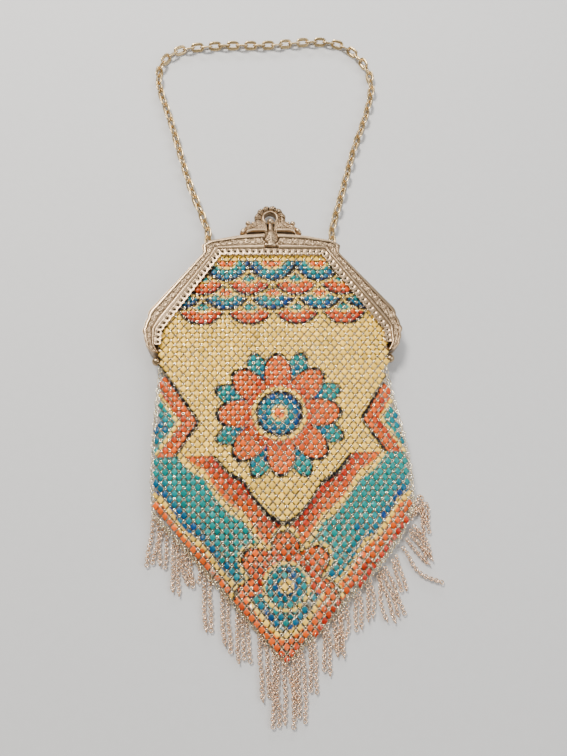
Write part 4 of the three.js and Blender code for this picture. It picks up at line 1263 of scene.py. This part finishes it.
def fringe(tufts, hem):
    # Each strand runs from root by knee to tip. Its rings lie nearly flat and stand nearly upright in turn.
    f = fringeForm
    places, heads, leans = [], [], []
    for rootX, rootY, kneeX, kneeY, tipX, tipY, strands in tufts:
        root, knee, tip = np.array([(rootX, rootY), (kneeX, kneeY), (tipX, tipY)])
        side = unit((tip - root)[::-1] * (1, -1))
        side = side * np.sign(side[0] + 1e-6)
        for strand in range(int(strands)):
            place = strand + 0.5 - strands / 2
            cut = 1 - f["ragged"] * rng.random() * (strands > 1)
            offset = side * place * f["gap"]
            wander = rng.normal(0, 0.4, 2)
            start = root + hem * place * f["hemGap"]
            bends = [start, knee + offset + wander, root + (tip - root) * cut + offset]
            levels = [f["level"] + 0.3, f["level"], f["level"]]
            line = smoothRoute(np.column_stack([bends, levels]), f["pitch"])
            line[:, 0] += np.sin(np.arange(len(line)) * 0.6 + rng.random() * 6) * 0.16
            line[:, 2] += rng.random(len(line)) * 0.12
            places.append(line)
            heads.append(unit(np.gradient(line, axis=0)))
            lean = np.where(np.arange(len(line)) % 2, 1.35, 0.15)
            leans.append(lean + rng.normal(0, 0.16, len(line)))
    places, heads = np.concatenate(places), np.concatenate(heads)
    leans = np.concatenate(leans)[:, None]
    level = unit(np.cross(heads, (0.0, 0.0, 1.0)))
    rise = np.cross(level, heads)
    across = level * np.cos(leans) + rise * np.sin(leans)
    ring = ovalRing(f["ringLength"], f["ringWidth"], f["wire"], 12, 5)
    return copies(ring, places, heads, across, np.cross(heads, across))


leftStrands = fringe(leftTufts, np.array([0.69, -0.72]))
putPiece("fringeStrandsLeft", leftStrands, fringeSilver, "purse", ("fringe_left",))
rightStrands = fringe(rightTufts, np.array([0.69, 0.72]))
putPiece("fringeStrandsRight", rightStrands, fringeSilver, "purse", ("fringe_right",))
print("fringe built")


# Chain handle: oval links laid from eye to eye

handleRoute = np.array([
    (-29, 9), (-31.2, 17), (-37.8, 36), (-47.1, 70.9), (-54.3, 98.5), (-52.4, 110), (-45, 117.8),
    (-26.8, 121.7), (2.2, 123.3), (31.2, 126.2), (43.4, 122.8), (53.2, 110.6), (55.4, 97.5), (52, 82),
    (42.2, 54.2), (34.4, 28.1), (30.4, 15), (29.1, 9),
], float)
chainForm = dict(
    linkLength=7.0,
    linkWidth=4.5,
    wire=0.6,
    broad=0.32,
    thin=0.7,
    pitch=4.68,
    firstPlace=(-29.0, 4.9),
    lastPlace=(29.0, 4.9),
    eyeLevel=2.35,
    level=1.8,        # of the links that lie on the floor
    settle=14.0,      # how far from an eye the chain comes down to it
)


def handleChain():
    # The links lean half a right angle to one side and to the other in turn, as a chain settles when laid
    # down. Its level = the floor's, and near each eye it climbs to the eye's by a cosine.
    c = chainForm
    route = np.concatenate([[c["firstPlace"]], handleRoute, [c["lastPlace"]]])
    line = smoothRoute(np.column_stack([route, np.zeros(len(route))]), c["pitch"])
    run = np.arange(len(line)) * c["pitch"]
    near = np.clip(np.minimum(run, run[-1] - run) / c["settle"], 0, 1)
    line[:, 2] = c["level"] + (c["eyeLevel"] - c["level"]) * (1 + np.cos(np.pi * near)) / 2
    heads = unit(np.gradient(line, axis=0))
    lean = np.where(np.arange(len(line)) % 2, np.pi / 4, -np.pi / 4) + rng.normal(0, 0.06, len(line))
    level = unit(np.cross(heads, (0.0, 0.0, 1.0)))
    rise = np.cross(level, heads)
    across = level * np.cos(lean)[:, None] + rise * np.sin(lean)[:, None]
    link = ovalRing(c["linkLength"], c["linkWidth"], c["wire"], 28, 10, c["broad"], c["thin"])
    return copies(link, line, heads, across, np.cross(heads, across))


putPiece("handleChainLinks", handleChain(), chainSilver, "purse", ("handle_chain",))
print("chain built")


# Floor, light and camera

def makeFloor():
    size = 3.0
    mesh = bpy.data.meshes.new("floor")
    z = -0.0002
    corners = [(-size, -size, z), (size, -size, z), (size, size, z), (-size, size, z)]
    mesh.from_pydata(corners, [], [(0, 1, 2, 3)])
    material, tree, shader = newMaterial("floorPaper")
    grain = mathNode(tree, "MULTIPLY", noiseNode(tree, 260, 4.0), 0.04)
    tone = mathNode(tree, "ADD", grain, 0.6)
    tree.links.new(grey(tree, tone), shader.inputs["Base Color"])
    shader.inputs["Roughness"].default_value = 0.8
    mesh.materials.append(material)
    floor = bpy.data.objects.new("floor", mesh)
    bpy.context.scene.collection.objects.link(floor)
    floor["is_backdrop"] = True


def areaLight(name, place, aim, size, power, warmth):
    data = bpy.data.lights.new(name, "AREA")
    data.shape = "RECTANGLE"
    data.size, data.size_y = size
    data.energy = power
    data.color = warmth
    light = bpy.data.objects.new(name, data)
    light.location = place
    direction = np.array(aim, float) - np.array(place, float)
    light.rotation_euler = mathutils.Vector(direction).to_track_quat("-Z", "Y").to_euler()
    bpy.context.scene.collection.objects.link(light)


def makeCamera():
    # Looks down on the part, leaned back and rolled as the photo's camera was.
    tilt, lean, roll = np.radians([17.5, -4.16, -2.17])
    away = unit(np.array([np.tan(lean), -np.tan(tilt), 1.0]))
    upward = np.array([0.0, 1.0, 0.0])
    upward = unit(upward - away * (upward @ away))
    right = np.cross(-away, upward)
    right, upward = (right * np.cos(roll) + upward * np.sin(roll),
                     upward * np.cos(roll) - right * np.sin(roll))
    data = bpy.data.cameras.new("camera")
    photoHeight, focalPixels = 756, 580
    data.sensor_width = 36
    data.lens = data.sensor_width * focalPixels / photoHeight
    camera = bpy.data.objects.new("camera", data)
    matrix = np.eye(4)
    matrix[:3, :3] = np.stack([right, upward, away], 1)
    place = np.array([-13.745, -137.474, 241.701])
    matrix[:3, 3] = place * mm
    camera.matrix_world = mathutils.Matrix(matrix.tolist())
    bpy.context.scene.collection.objects.link(camera)
    bpy.context.scene.camera = camera


makeFloor()
areaLight("keyLight", (-0.3, 0.4, 0.75), (0, -0.03, 0), (0.24, 0.24), 12.0, (1.0, 0.96, 0.9))
areaLight("fillLight", (0.6, -0.2, 0.6), (0, -0.03, 0), (0.6, 0.6), 4.0, (0.95, 0.97, 1.0))
areaLight("rimLight", (0.1, 0.7, 0.3), (0, 0.0, 0), (0.5, 0.15), 3.0, (1.0, 1.0, 1.0))
world = bpy.data.worlds.new("world")
world.use_nodes = True
background = world.node_tree.nodes["Background"]
background.inputs["Color"].default_value = (1.0, 0.98, 0.95, 1.0)
background.inputs["Strength"].default_value = 0.38
bpy.context.scene.world = world
makeCamera()
print("floor, light and camera placed")

sizes = dict(cad=[list(map(float, corner)) for corner in cadBox])
sizes["visual"] = [list(map(float, corner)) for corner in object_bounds()]
